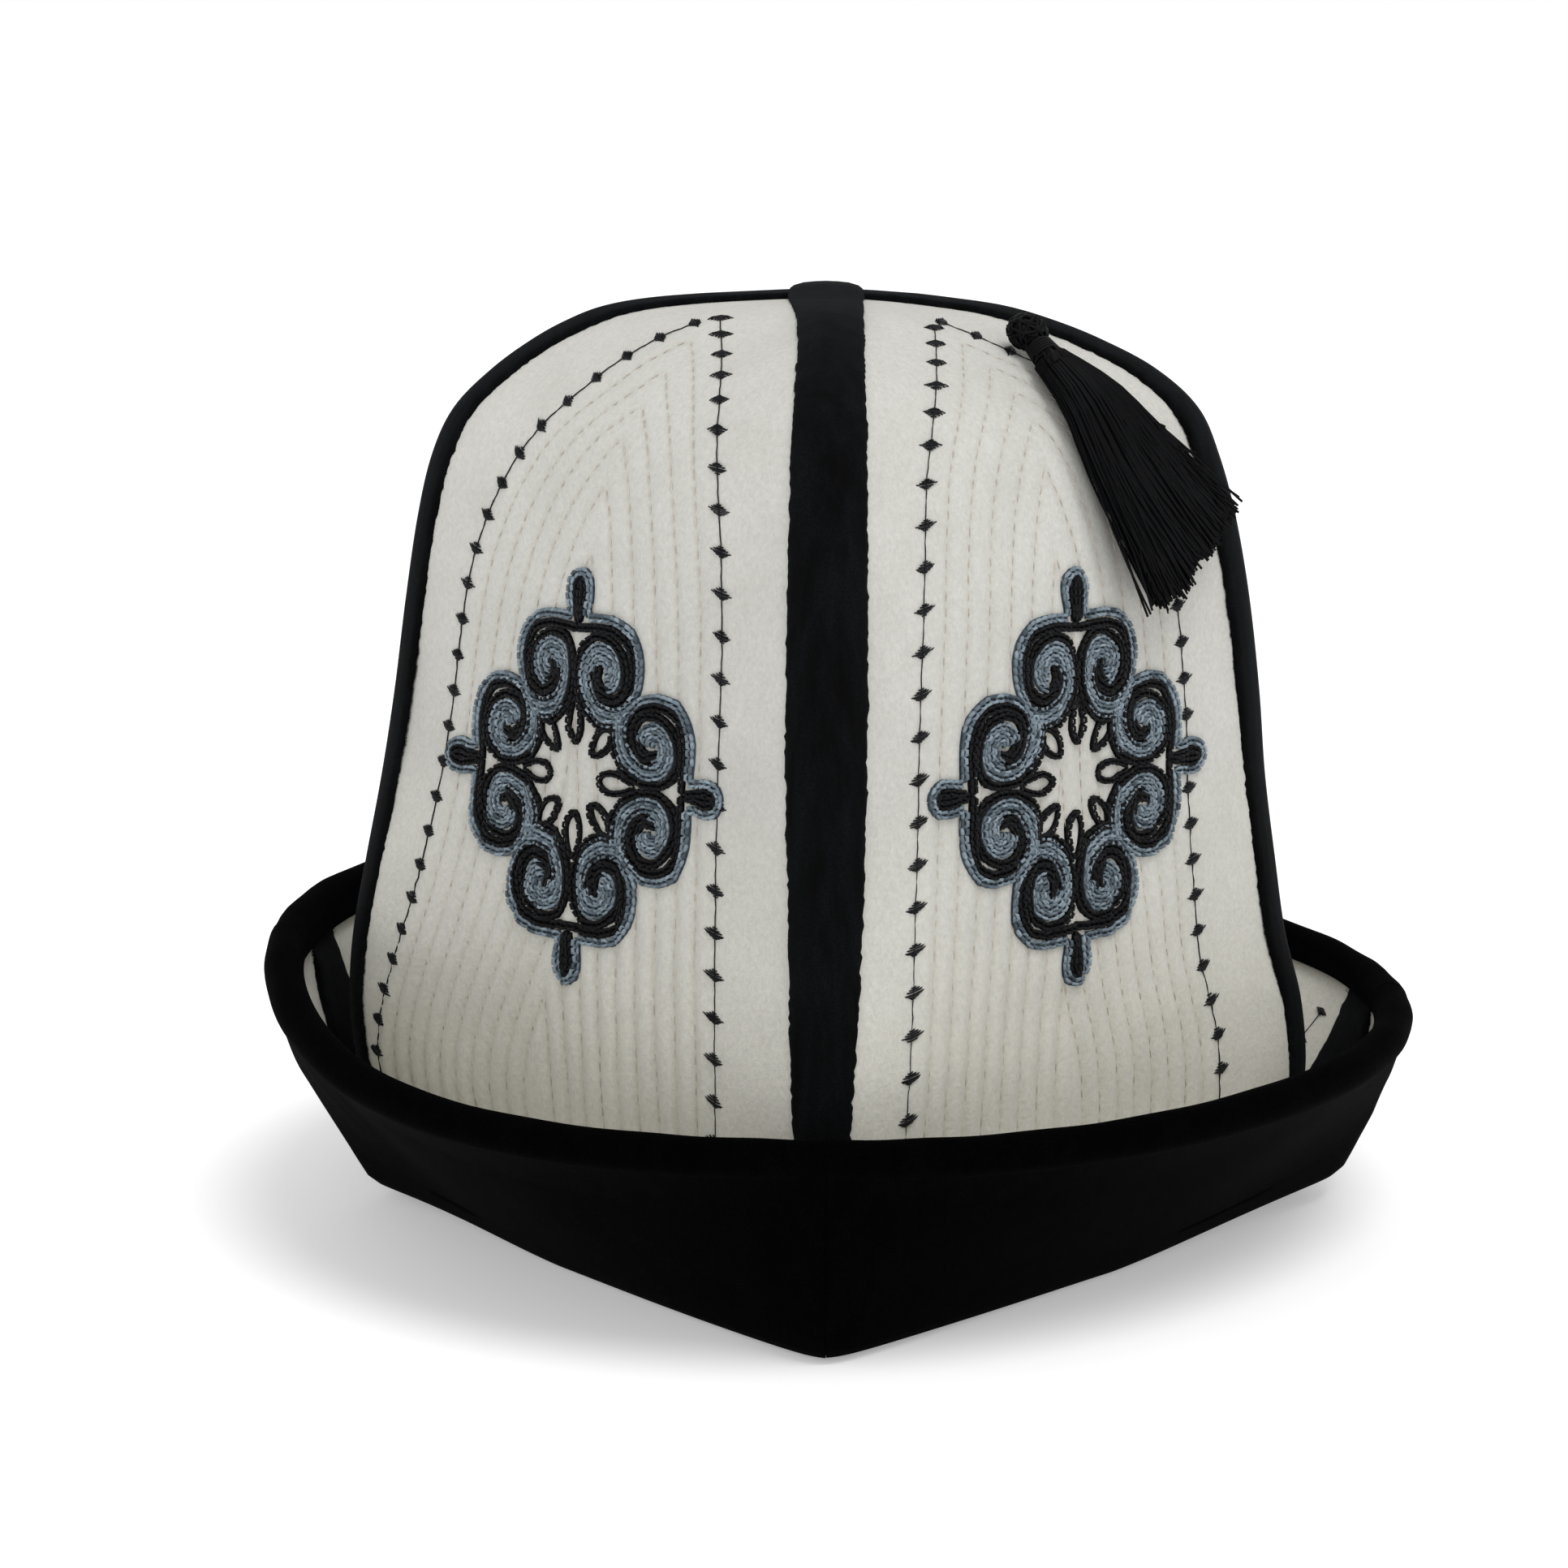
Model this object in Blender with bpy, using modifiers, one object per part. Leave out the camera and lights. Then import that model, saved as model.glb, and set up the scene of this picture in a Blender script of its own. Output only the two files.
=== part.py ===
"""Felt kalpak: four felt gores turned up into a cuff, velvet seam strips, velvet cuff facing, tassel.

Units in the tables are millimetres and degrees; MM turns them into metres.
Front is -Y, the wearer's front seam; +X is on the viewer's right; Z is up; the hat rests on Z = 0.
Azimuths run counter-clockwise from +X, so the front is at 270.
"""
import math

import bmesh
import bpy
import numpy as np
from mathutils import Vector

MM = 0.001

# ---------------------------------------------------------------- named sizes
FELT = 3.0             # thickness of the felt
FOLD_RADIUS = 4.5      # bend of the middle of the felt where the cuff turns up
VELVET_GAP = 0.72      # air between felt and the cuff velvet
VELVET = 1.2           # thickness of the cuff velvet
ROLL_RADIUS = 3.75     # outer radius of the velvet roll on the rim
ROLL_DROP = 2          # rows of velvet down the inside of the cuff
SEAM_GAP = 0.2         # from a seam plane to the edge of a gore
STRIP_GAP = 0.4        # air between felt and a seam strip
STRIP = 1.0            # thickness of a seam strip
STRIP_RAISE = 1.4      # how far the front strip rises over the ends of the side strips
STRIP_START = 3.0      # where a side strip begins, from the axis
BASE_SOFT = 0.04       # corner softness of the square plan at the fold
BASE_BOW = -0.014      # bow of the sides of the square plan at the fold
CENTRE = (2.952, -1.258)   # middle of the whole hat's plan, which goes to the origin
FOLD_DEPTH = FOLD_RADIUS + FELT / 2 + VELVET_GAP + VELVET

# height and reach of the middle of the felt along the side seams;
# soft rounds the plan's corners, bow swells its sides (shares of the reach)
CROWN = (
    # height, left, right, soft, bow
    (189.7, 1.5, 1.5, 0.060, 0.010),
    (189.45, 8.0, 6.5, 0.060, 0.010),
    (189.0, 19.5, 14.5, 0.060, 0.010),
    (187.9, 35.0, 24.5, 0.060, 0.012),
    (186.2, 45.0, 36.0, 0.060, 0.014),
    (183.4, 52.3, 45.7, 0.060, 0.014),
    (179.6, 59.2, 55.3, 0.060, 0.015),
    (174.0, 67.0, 66.0, 0.060, 0.015),
    (166.6, 74.5, 74.4, 0.060, 0.015),
    (157.5, 78.9, 78.6, 0.060, 0.015),
    (145.0, 82.0, 82.2, 0.060, 0.015),
    (128.0, 84.8, 85.4, 0.060, 0.015),
    (109.0, 87.5, 87.8, 0.060, 0.015),
    (91.0, 90.6, 89.4, 0.060, 0.012),
    (73.0, 94.3, 91.9, 0.058, 0.008),
    (57.0, 97.4, 94.4, 0.055, 0.004),
    (43.0, 98.4, 98.0, 0.050, 0.000),
    (30.0, 97.0, 99.4, 0.045, -0.004),
)

# the turned-up cuff, every 45 degrees round the hat
CUFF = (
    # azimuth, fold_reach, fold_height, belly, rim_reach, rim_top
    (0, 104.5, 4.5, 3.0, 119.9, 46.2),
    (45, 103.0, 0.0, 0.0, 116.0, 49.5),
    (90, 104.0, 0.0, 0.0, 115.5, 53.0),
    (135, 103.0, 0.0, 0.0, 117.0, 61.5),
    (180, 95.5, 2.5, 5.0, 114.0, 60.0),
    (225, 101.0, 0.0, -1.5, 116.0, 46.5),
    (270, 104.5, 0.0, 0.5, 118.0, 45.0),
    (315, 107.5, 0.0, 0.5, 115.0, 44.5),
)
CUFF_RISE = (0.0, 0.22, 0.45, 0.68, 0.88, 1.0)   # shares of the cuff's height
FOLD_ANGLES = (210, 250, 290, 330)               # round the bend

# columns across a gore, from seam to seam, closer together at the seams
ACROSS = (0.0, 0.010, 0.035, 0.10, 0.21, 0.35, 0.50, 0.65, 0.79, 0.90, 0.965, 0.990, 1.0)

# half width of a seam strip along the seam, by row of the profile
STRIP_WIDTH = (
    # row, half_width
    (0, 7.8),
    (5, 6.7),
    (10, 6.5),
    (12, 6.4),
    (14, 5.8),
    (15, 5.4),
    (16, 4.8),
    (17, 4.4),
    (29, 4.2),
)
STRIP_COLUMNS = (-1.0, -0.4, 0.0, 0.4, 1.0)

# tassel skirt, from the neck to the cut ends, lying on the front right gore
TASSEL = (
    # azimuth, row, lift, half_width, half_depth
    (327.3, 6.78, 5.3, 4.8, 2.9),
    (328.0, 7.70, 5.9, 8.2, 3.4),
    (331.6, 8.78, 6.2, 10.9, 3.6),
    (337.3, 9.70, 7.2, 13.4, 3.6),
    (343.1, 10.43, 8.8, 15.4, 3.4),
)
HEAD_PLACE = (330.2, 5.97, 5.8)      # azimuth, row, lift
HEAD_SIZE = (4.0, 4.6, 3.6)          # half sizes: along, across, out
NECK_LENGTH = 3.0
NECK_RADIUS = 2.7
NECK_GAP = 1.3                       # neck to the first section of the skirt
HEAD_GAP = 0.4                       # head to neck

CORE_ROWS = len(CROWN)
LAST_ROW = CORE_ROWS + 2 + len(FOLD_ANGLES) + len(CUFF_RISE) - 1
ROW_WALL = CORE_ROWS                 # lower crown wall
ROW_FOLD = CORE_ROWS + 2             # first row of the bend
ROW_CUFF = ROW_FOLD + len(FOLD_ANGLES)

FELT_ROWS = (0, 2, 3, 4, 5, 6, 7, 8, 9, 10.5, 12, 13.5, 15, 16, 17,
             ROW_WALL, ROW_WALL + 1, ROW_FOLD, ROW_FOLD + 1, ROW_FOLD + 2, ROW_FOLD + 3,
             ROW_CUFF, ROW_CUFF + 1.5, ROW_CUFF + 3.2, LAST_ROW)
VELVET_ROWS = (ROW_WALL, ROW_WALL + 1, ROW_FOLD, ROW_FOLD + 1, ROW_FOLD + 2, ROW_FOLD + 3,
               ROW_CUFF, ROW_CUFF + 1.5, ROW_CUFF + 3.2)
ROLL_ANGLES = (-38, 10, 58, 106, 154, 200)
VELVET_END = ROW_CUFF + 4.0
STRIP_ROWS = (2, 3, 4, 5, 6, 7, 8, 9, 10.5, 12, 13.5, 15, 16, 17,
              ROW_WALL, ROW_WALL + 1, ROW_FOLD, ROW_FOLD + 1, ROW_FOLD + 2, ROW_FOLD + 3,
              ROW_CUFF, ROW_CUFF + 1.5, ROW_CUFF + 3.2)

NAME = "kalpak_felt_hat"


# ---------------------------------------------------------------- the shape
def plan(azimuth, soft, bow):
    """Share of the corner's reach at an azimuth: a square with its corners on the axes."""
    c, s = np.cos(azimuth), np.sin(azimuth)
    square = (np.sqrt(1 + soft ** 2) + soft) / (np.sqrt(c * c + soft ** 2) + np.sqrt(s * s + soft ** 2))
    return square + bow * np.sin(2 * azimuth) ** 2


def spline(p0, p1, p2, p3, t):
    return 0.5 * (2 * p1 + (p2 - p0) * t + (2 * p0 - 5 * p1 + 4 * p2 - p3) * t * t
                  + (3 * p1 - p0 - 3 * p2 + p3) * t ** 3)


def cuff_at(azimuth):
    table = np.array([row[1:] for row in CUFF], float)
    place = (np.degrees(azimuth) % 360) / 45.0
    i = np.floor(place).astype(int)
    t = (place - i)[..., None]
    n = len(CUFF)
    return spline(table[(i - 1) % n], table[i % n], table[(i + 1) % n], table[(i + 2) % n], t)


def profile(azimuth):
    """Rows of (reach, height) of the middle of the felt at each azimuth."""
    across = np.cos(azimuth)
    end = np.sin(azimuth) ** 2
    rows = []
    for height, left, right, soft, bow in CROWN:
        side = np.where(across < 0, left, right)
        reach = side * (1 - end) + (left + right) / 2 * end
        rows.append(np.stack([reach * plan(azimuth, soft, bow), height + 0 * azimuth], -1))
    fold_reach, fold_height, belly, rim_reach, rim_top = np.moveaxis(cuff_at(azimuth), -1, 0)
    fold = (fold_reach - 2.0) * plan(azimuth, BASE_SOFT, BASE_BOW)
    centre = np.maximum(fold_height, 0) + FOLD_DEPTH * math.cos(math.radians(20))
    inner = fold - FOLD_RADIUS
    rows.append(np.stack([0.45 * rows[-1][..., 0] + 0.55 * inner, centre + 9.0], -1))
    rows.append(np.stack([inner - 0.2, centre + 1.5], -1))
    for angle in FOLD_ANGLES:
        t = math.radians(angle)
        rows.append(np.stack([fold + FOLD_RADIUS * math.cos(t), centre + FOLD_RADIUS * math.sin(t)], -1))
    foot, foot_height = fold + FOLD_RADIUS + 0.3, centre + 2.0
    top = rim_top - ROLL_RADIUS
    for f in CUFF_RISE:
        rows.append(np.stack([foot + (rim_reach - foot) * f + belly * math.sin(math.pi * f),
                              foot_height + (top - foot_height) * f], -1))
    return np.stack(rows, -2)


def middle(azimuth, row):
    """Point on the middle of the felt."""
    azimuth, row = np.broadcast_arrays(np.asarray(azimuth, float), np.asarray(row, float))
    rows = profile(azimuth)
    i = np.clip(np.floor(row).astype(int), 0, LAST_ROW - 1)
    t = (row - i)[..., None]

    def pick(k):
        return np.take_along_axis(rows, np.clip(k, 0, LAST_ROW)[..., None, None], axis=-2)[..., 0, :]

    p0, p1, p2, p3 = pick(i - 1), pick(i), pick(i + 1), pick(i + 2)
    p0 = np.where((i == 0)[..., None], 2 * p1 - p2, p0)
    p3 = np.where((i == LAST_ROW - 1)[..., None], 2 * p2 - p1, p3)
    rz = spline(p0, p1, p2, p3, t)
    return np.stack([rz[..., 0] * np.cos(azimuth), rz[..., 0] * np.sin(azimuth), rz[..., 1]], -1)


def normal(azimuth, row):
    """Unit normal on the embroidered side of the felt."""
    azimuth, row = np.broadcast_arrays(np.asarray(azimuth, float), np.asarray(row, float))
    round_ = middle(azimuth + 1e-3, row) - middle(azimuth - 1e-3, row)
    down = middle(azimuth, np.clip(row + 0.01, 0, LAST_ROW)) - middle(azimuth, np.clip(row - 0.01, 0, LAST_ROW))
    n = np.cross(down, round_)
    return n / np.linalg.norm(n, axis=-1, keepdims=True)


def face(azimuth, row, lift):
    return middle(azimuth, row) + lift * normal(azimuth, row)


def top_height(x, y):
    """Height of the middle of the felt near the apex, where the crown is almost flat."""
    azimuth = math.atan2(y, x)
    end = math.sin(azimuth) ** 2
    reach = math.hypot(x, y) / float(plan(np.array(azimuth), 0.06, 0.010))
    table = [((left if x < 0 else right) * (1 - end) + (left + right) / 2 * end, height)
             for height, left, right, soft, bow in CROWN[:6]]
    return float(np.interp(reach, [t[0] for t in table], [t[1] for t in table]))


def gore_azimuths(first, rows):
    """Azimuths of the columns of a gore between the seams at first and first + 90 degrees."""
    start = math.radians(first)
    share = np.array(ACROSS)
    out = []
    for row in rows:
        reach = float(profile(np.array(start))[int(min(row, LAST_ROW)), 0])
        edge = SEAM_GAP / reach
        a = edge + (1 - 2 * edge) * share
        out.append(start + np.arctan2(a, 1 - a))
    return np.array(out)


def trim_to_seams(grid, first):
    """Set the end columns exactly SEAM_GAP from the two seam planes."""
    for column, angle in ((0, first), (-1, first + 90)):
        t = math.radians(angle)
        side = np.array([-math.sin(t), math.cos(t), 0.0])
        want = SEAM_GAP if column == 0 else -SEAM_GAP
        off = grid[:, column] @ side
        grid[:, column] += (want - off)[:, None] * side
    return grid


# ---------------------------------------------------------------- building
def at(p):
    """A point of the tables, in metres and centred on the origin."""
    return Vector((p[0] - CENTRE[0], p[1] - CENTRE[1], p[2])) * MM


def material(name, colour, roughness, sheen=0.0):
    m = bpy.data.materials.new(name)
    m.use_nodes = True
    shader = m.node_tree.nodes["Principled BSDF"]
    shader.inputs["Base Color"].default_value = (*colour, 1.0)
    shader.inputs["Roughness"].default_value = roughness
    shader.inputs["Metallic"].default_value = 0.0
    shader.inputs["Sheen Weight"].default_value = sheen
    m.diffuse_color = (*colour, 1.0)
    return m


def place(name, mesh, mat, collection):
    obj = bpy.data.objects.new(name, mesh)
    mesh.materials.append(mat)
    collection.objects.link(obj)
    return obj


def loft_solid(name, outer, inner, mat, collection):
    """Closed wall between two grids of the same rows and columns."""
    rows, columns = outer.shape[:2]
    bm = bmesh.new()
    skins = []
    for grid in (outer, inner):
        skins.append([[bm.verts.new(at(p)) for p in line] for line in grid])

    def quad(a, b, c, d, smooth):
        for three in ((a, b, c), (a, c, d)):
            f = bm.faces.new(three)
            f.smooth = smooth

    top, under = skins
    for i in range(rows - 1):
        for j in range(columns - 1):
            quad(top[i][j], top[i + 1][j], top[i + 1][j + 1], top[i][j + 1], True)
            quad(under[i][j + 1], under[i + 1][j + 1], under[i + 1][j], under[i][j], True)
    border = ([(i, 0) for i in range(rows)] + [(rows - 1, j) for j in range(1, columns)]
              + [(i, columns - 1) for i in range(rows - 2, -1, -1)] + [(0, j) for j in range(columns - 2, 0, -1)])
    for (i, j), (k, m) in zip(border, border[1:] + border[:1]):
        quad(top[k][m], top[i][j], under[i][j], under[k][m], False)
    for edge in bm.edges:
        if len({f.smooth for f in edge.link_faces}) == 2:
            edge.smooth = False
    bm.normal_update()
    if bm.calc_volume(signed=True) < 0:
        bmesh.ops.reverse_faces(bm, faces=bm.faces[:])
    mesh = bpy.data.meshes.new(name)
    bm.to_mesh(mesh)
    bm.free()
    return place(name, mesh, mat, collection)


def sheet_solid(name, grid, thickness, mat, collection):
    """Open sheet given its thickness by a Solidify modifier."""
    bm = bmesh.new()
    points = [[bm.verts.new(at(p)) for p in line] for line in grid]
    for i in range(len(points) - 1):
        for j in range(len(points[0]) - 1):
            f = bm.faces.new((points[i][j], points[i + 1][j], points[i + 1][j + 1], points[i][j + 1]))
            f.smooth = True
    bm.normal_update()
    mesh = bpy.data.meshes.new(name)
    bm.to_mesh(mesh)
    bm.free()
    obj = place(name, mesh, mat, collection)
    shell = obj.modifiers.new("thickness", 'SOLIDIFY')
    shell.thickness = thickness * MM
    shell.offset = 0.0
    shell.use_even_offset = False
    return obj


def gore(name, first, mat, collection):
    azimuths = gore_azimuths(first, FELT_ROWS)
    rows = np.array(FELT_ROWS, float)[:, None] + 0 * azimuths
    outer = trim_to_seams(face(azimuths, rows, FELT / 2), first)
    inner = trim_to_seams(face(azimuths, rows, -FELT / 2), first)
    return loft_solid(name, outer, inner, mat, collection)


def facing(name, first, mat, collection):
    """Velvet from inside the crown, under the fold, up the cuff and over its rim."""
    azimuths = gore_azimuths(first, VELVET_ROWS)
    rows = np.array(VELVET_ROWS, float)[:, None] + 0 * azimuths
    near = FELT / 2 + VELVET_GAP
    far = near + VELVET
    inside, outside = [face(azimuths, rows, -near)], [face(azimuths, rows, -far)]
    edge = gore_azimuths(first, (LAST_ROW,))
    last = np.full(edge.shape, float(LAST_ROW))
    tip = middle(edge, last)
    n = normal(edge, last)
    up = tip - middle(edge, last - 0.1)
    up /= np.linalg.norm(up, axis=-1, keepdims=True)
    for angle in ROLL_ANGLES:
        t = math.radians(angle)
        ray = -n * math.cos(t) + up * math.sin(t)
        inside.append(tip + (ROLL_RADIUS - VELVET) * ray)
        outside.append(tip + ROLL_RADIUS * ray)
    low = np.full(edge.shape, float(VELVET_END))
    inside.append(face(edge, low, near + 0.15))
    outside.append(face(edge, low, near + 0.15 + VELVET))
    inside = trim_to_seams(np.concatenate(inside), first)
    outside = trim_to_seams(np.concatenate(outside), first)
    resting = outside[..., 2] < 0.3
    outside[resting, 2] = 0.0
    return loft_solid(name, outside, inside, mat, collection)


def strip_columns(seam, row):
    """Azimuths of a strip's columns at a row, at set distances from the seam plane."""
    half = float(np.interp(row, [r for r, w in STRIP_WIDTH], [w for r, w in STRIP_WIDTH]))
    centre = math.radians(seam)
    out = []
    for share in STRIP_COLUMNS:
        aside = share * half
        turn = 0.0
        for step in range(12):
            p = middle(np.array(centre + turn), np.array(float(row)))
            turn = math.asin(max(-0.7, min(0.7, aside / math.hypot(p[0], p[1]))))
        out.append(centre + turn)
    return np.array(out)


def strip_half(seam):
    """Sheet of a strip down one seam, as rows of points, from near the apex to the rim."""
    lines = []
    for row in STRIP_ROWS:
        azimuths = strip_columns(seam, row)
        lines.append(face(azimuths, np.full(azimuths.shape, float(row)), FELT / 2 + STRIP_GAP + STRIP / 2))
    return lines


def top_line(seam, along, raise_):
    """Cross line of a strip on the flat top, at a distance along its seam."""
    t = math.radians(seam)
    way = np.array([math.cos(t), math.sin(t)])
    aside = np.array([-math.sin(t), math.cos(t)])
    line = []
    for share in STRIP_COLUMNS:
        x, y = way * along + aside * share * STRIP_WIDTH[0][1]
        line.append([x, y, top_height(x, y) + FELT / 2 + STRIP_GAP + STRIP / 2 + raise_])
    return np.array(line)


def seam_strips(mat, collection):
    front, back = strip_half(270), strip_half(90)
    crossing = [top_line(270, 9.5, STRIP_RAISE), top_line(270, 4.5, STRIP_RAISE), top_line(270, 0.0, STRIP_RAISE),
                top_line(270, -4.5, STRIP_RAISE), top_line(270, -9.5, STRIP_RAISE)]
    lines = front[::-1] + crossing + [line[::-1] for line in back]
    sheet_solid("seam_strip_front_back", lines, STRIP, mat, collection)
    for name, seam in (("seam_strip_right", 0), ("seam_strip_left", 180)):
        lines = [top_line(seam, STRIP_START, 0.0), top_line(seam, 10.0, 0.0)] + strip_half(seam)[1:]
        sheet_solid(name, lines, STRIP, mat, collection)


def tassel_frame(azimuth, row, lift):
    a, r = np.array(math.radians(azimuth)), np.array(float(row))
    n = normal(a, r)
    return face(a, r, lift), n


def tassel(mat, collection):
    centres, outs = zip(*(tassel_frame(a, r, lift) for a, r, lift, w, d in TASSEL))
    sections = []
    for i, (a, r, lift, half_width, half_depth) in enumerate(TASSEL):
        before, after = centres[max(i - 1, 0)], centres[min(i + 1, len(TASSEL) - 1)]
        along = (after - before) / np.linalg.norm(after - before)
        aside = np.cross(outs[i], along)
        aside /= np.linalg.norm(aside)
        out = np.cross(along, aside)
        ring = []
        for k in range(16):
            t = 2 * math.pi * k / 16
            ring.append(centres[i] + aside * half_width * math.cos(t) + out * half_depth * math.sin(t))
        sections.append(ring)
    bm = bmesh.new()
    rings = [[bm.verts.new(at(p)) for p in ring] for ring in sections]
    for low, high in zip(rings, rings[1:]):
        for k in range(16):
            m = (k + 1) % 16
            f = bm.faces.new((low[k], low[m], high[m], high[k]))
            f.smooth = True
    for ring in (rings[0][::-1], rings[-1]):
        bm.faces.new(ring)
    for edge in bm.edges:
        if len({f.smooth for f in edge.link_faces}) == 2:
            edge.smooth = False
    bm.normal_update()
    if bm.calc_volume(signed=True) < 0:
        bmesh.ops.reverse_faces(bm, faces=bm.faces[:])
    mesh = bpy.data.meshes.new("tassel_skirt")
    bm.to_mesh(mesh)
    bm.free()
    place("tassel_skirt", mesh, mat, collection)

    head_at, head_out = tassel_frame(*HEAD_PLACE)
    top = Vector(centres[0])
    along = Vector(head_at) - top
    reach = along.length
    along.normalize()
    neck_mesh = bpy.data.meshes.new("tassel_neck")
    bm = bmesh.new()
    bmesh.ops.create_cone(bm, cap_ends=True, segments=16, radius1=NECK_RADIUS * MM, radius2=NECK_RADIUS * 0.85 * MM,
                          depth=NECK_LENGTH * MM)
    for f in bm.faces:
        f.smooth = len(f.verts) == 4
    turn = along.to_track_quat('Z', 'Y').to_matrix().to_4x4()
    turn.translation = at(top + along * (NECK_LENGTH / 2 + NECK_GAP))
    bm.transform(turn)
    for edge in bm.edges:
        if len({f.smooth for f in edge.link_faces}) == 2:
            edge.smooth = False
    bm.to_mesh(neck_mesh)
    bm.free()
    place("tassel_neck", neck_mesh, mat, collection)

    head_mesh = bpy.data.meshes.new("tassel_head")
    bm = bmesh.new()
    bmesh.ops.create_uvsphere(bm, u_segments=16, v_segments=10, radius=1.0)
    for v in bm.verts:
        v.co = Vector((v.co.x * HEAD_SIZE[1], v.co.y * HEAD_SIZE[2], v.co.z * HEAD_SIZE[0])) * MM
    for f in bm.faces:
        f.smooth = True
    turn.translation = at(top + along * (NECK_GAP + NECK_LENGTH + HEAD_GAP + HEAD_SIZE[0]))
    bm.transform(turn)
    bm.to_mesh(head_mesh)
    bm.free()
    place("tassel_head", head_mesh, mat, collection)


def main():
    for obj in list(bpy.data.objects):
        bpy.data.objects.remove(obj, do_unlink=True)
    collection = bpy.data.collections.new(NAME)
    bpy.context.scene.collection.children.link(collection)
    felt = material("felt", (0.60, 0.595, 0.55), 0.95, 0.3)
    velvet = material("velvet", (0.006, 0.0065, 0.008), 0.85, 0.3)
    strip_velvet = material("strip_velvet", (0.009, 0.010, 0.012), 0.85, 0.3)
    thread = material("tassel_thread", (0.008, 0.008, 0.009), 0.6)
    for name, first in (("front_right", 270), ("back_right", 0), ("back_left", 90), ("front_left", 180)):
        gore("felt_gore_" + name, first, felt, collection)
        facing("cuff_velvet_" + name, first, velvet, collection)
    seam_strips(strip_velvet, collection)
    tassel(thread, collection)


main()
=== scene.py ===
"""Finished look of the felt kalpak, on its CAD frame.

The shape functions repeat the part's own, with the same tables: millimetres and degrees,
front at azimuth 270 (-Y). Stitches are built flat, as (across, down, lift) on a gore's
embroidered face, and then laid on the gore.
"""
import math

import bpy
import numpy as np
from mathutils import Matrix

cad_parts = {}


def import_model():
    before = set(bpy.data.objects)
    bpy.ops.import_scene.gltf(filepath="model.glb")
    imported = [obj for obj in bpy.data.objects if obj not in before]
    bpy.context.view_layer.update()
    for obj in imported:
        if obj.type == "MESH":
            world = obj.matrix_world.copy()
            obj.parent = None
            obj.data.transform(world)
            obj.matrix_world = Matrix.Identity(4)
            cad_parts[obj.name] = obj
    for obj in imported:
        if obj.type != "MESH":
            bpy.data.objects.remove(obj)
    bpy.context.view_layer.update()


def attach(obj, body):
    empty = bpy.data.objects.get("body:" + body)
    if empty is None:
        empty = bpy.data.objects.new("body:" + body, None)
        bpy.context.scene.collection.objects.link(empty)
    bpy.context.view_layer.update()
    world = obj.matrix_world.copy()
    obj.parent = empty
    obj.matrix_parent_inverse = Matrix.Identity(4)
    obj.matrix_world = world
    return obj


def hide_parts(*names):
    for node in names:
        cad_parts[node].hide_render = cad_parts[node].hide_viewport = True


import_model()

MM = 0.001
RNG = np.random.default_rng(20)

# ---------------------------------------------------------------- the part's sizes
FELT = 3.0
FOLD_RADIUS = 4.5
VELVET_GAP = 0.72
VELVET = 1.2
ROLL_RADIUS = 3.75
STRIP_RAISE = 1.4
BASE_SOFT = 0.04
BASE_BOW = -0.014
CENTRE = (2.952, -1.258)
FOLD_DEPTH = FOLD_RADIUS + FELT / 2 + VELVET_GAP + VELVET

CROWN = (
    # height, left, right, soft, bow
    (189.7, 1.5, 1.5, 0.060, 0.010),
    (189.45, 8.0, 6.5, 0.060, 0.010),
    (189.0, 19.5, 14.5, 0.060, 0.010),
    (187.9, 35.0, 24.5, 0.060, 0.012),
    (186.2, 45.0, 36.0, 0.060, 0.014),
    (183.4, 52.3, 45.7, 0.060, 0.014),
    (179.6, 59.2, 55.3, 0.060, 0.015),
    (174.0, 67.0, 66.0, 0.060, 0.015),
    (166.6, 74.5, 74.4, 0.060, 0.015),
    (157.5, 78.9, 78.6, 0.060, 0.015),
    (145.0, 82.0, 82.2, 0.060, 0.015),
    (128.0, 84.8, 85.4, 0.060, 0.015),
    (109.0, 87.5, 87.8, 0.060, 0.015),
    (91.0, 90.6, 89.4, 0.060, 0.012),
    (73.0, 94.3, 91.9, 0.058, 0.008),
    (57.0, 97.4, 94.4, 0.055, 0.004),
    (43.0, 98.4, 98.0, 0.050, 0.000),
    (30.0, 97.0, 99.4, 0.045, -0.004),
)
CUFF = (
    # azimuth, fold_reach, fold_height, belly, rim_reach, rim_top
    (0, 104.5, 4.5, 3.0, 119.9, 46.2),
    (45, 103.0, 0.0, 0.0, 116.0, 49.5),
    (90, 104.0, 0.0, 0.0, 115.5, 53.0),
    (135, 103.0, 0.0, 0.0, 117.0, 61.5),
    (180, 95.5, 2.5, 5.0, 114.0, 60.0),
    (225, 101.0, 0.0, -1.5, 116.0, 46.5),
    (270, 104.5, 0.0, 0.5, 118.0, 45.0),
    (315, 107.5, 0.0, 0.5, 115.0, 44.5),
)
CUFF_RISE = (0.0, 0.22, 0.45, 0.68, 0.88, 1.0)
FOLD_ANGLES = (210, 250, 290, 330)
STRIP_WIDTH = (
    # row, half_width
    (0, 7.8),
    (5, 6.7),
    (10, 6.5),
    (12, 6.4),
    (14, 5.8),
    (15, 5.4),
    (16, 4.8),
    (17, 4.4),
    (29, 4.2),
)
TASSEL = (
    # azimuth, row, lift, half_width, half_depth
    (327.3, 6.78, 5.3, 4.8, 2.9),
    (328.0, 7.70, 5.9, 8.2, 3.4),
    (331.6, 8.78, 6.2, 10.9, 3.6),
    (337.3, 9.70, 7.2, 13.4, 3.6),
    (343.1, 10.43, 8.8, 15.4, 3.4),
)
HEAD_PLACE = (330.2, 5.97, 5.8)
HEAD_SIZE = (4.0, 4.6, 3.6)
NECK_LENGTH = 3.0
NECK_RADIUS = 2.7
NECK_GAP = 1.3
HEAD_GAP = 0.4

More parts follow.
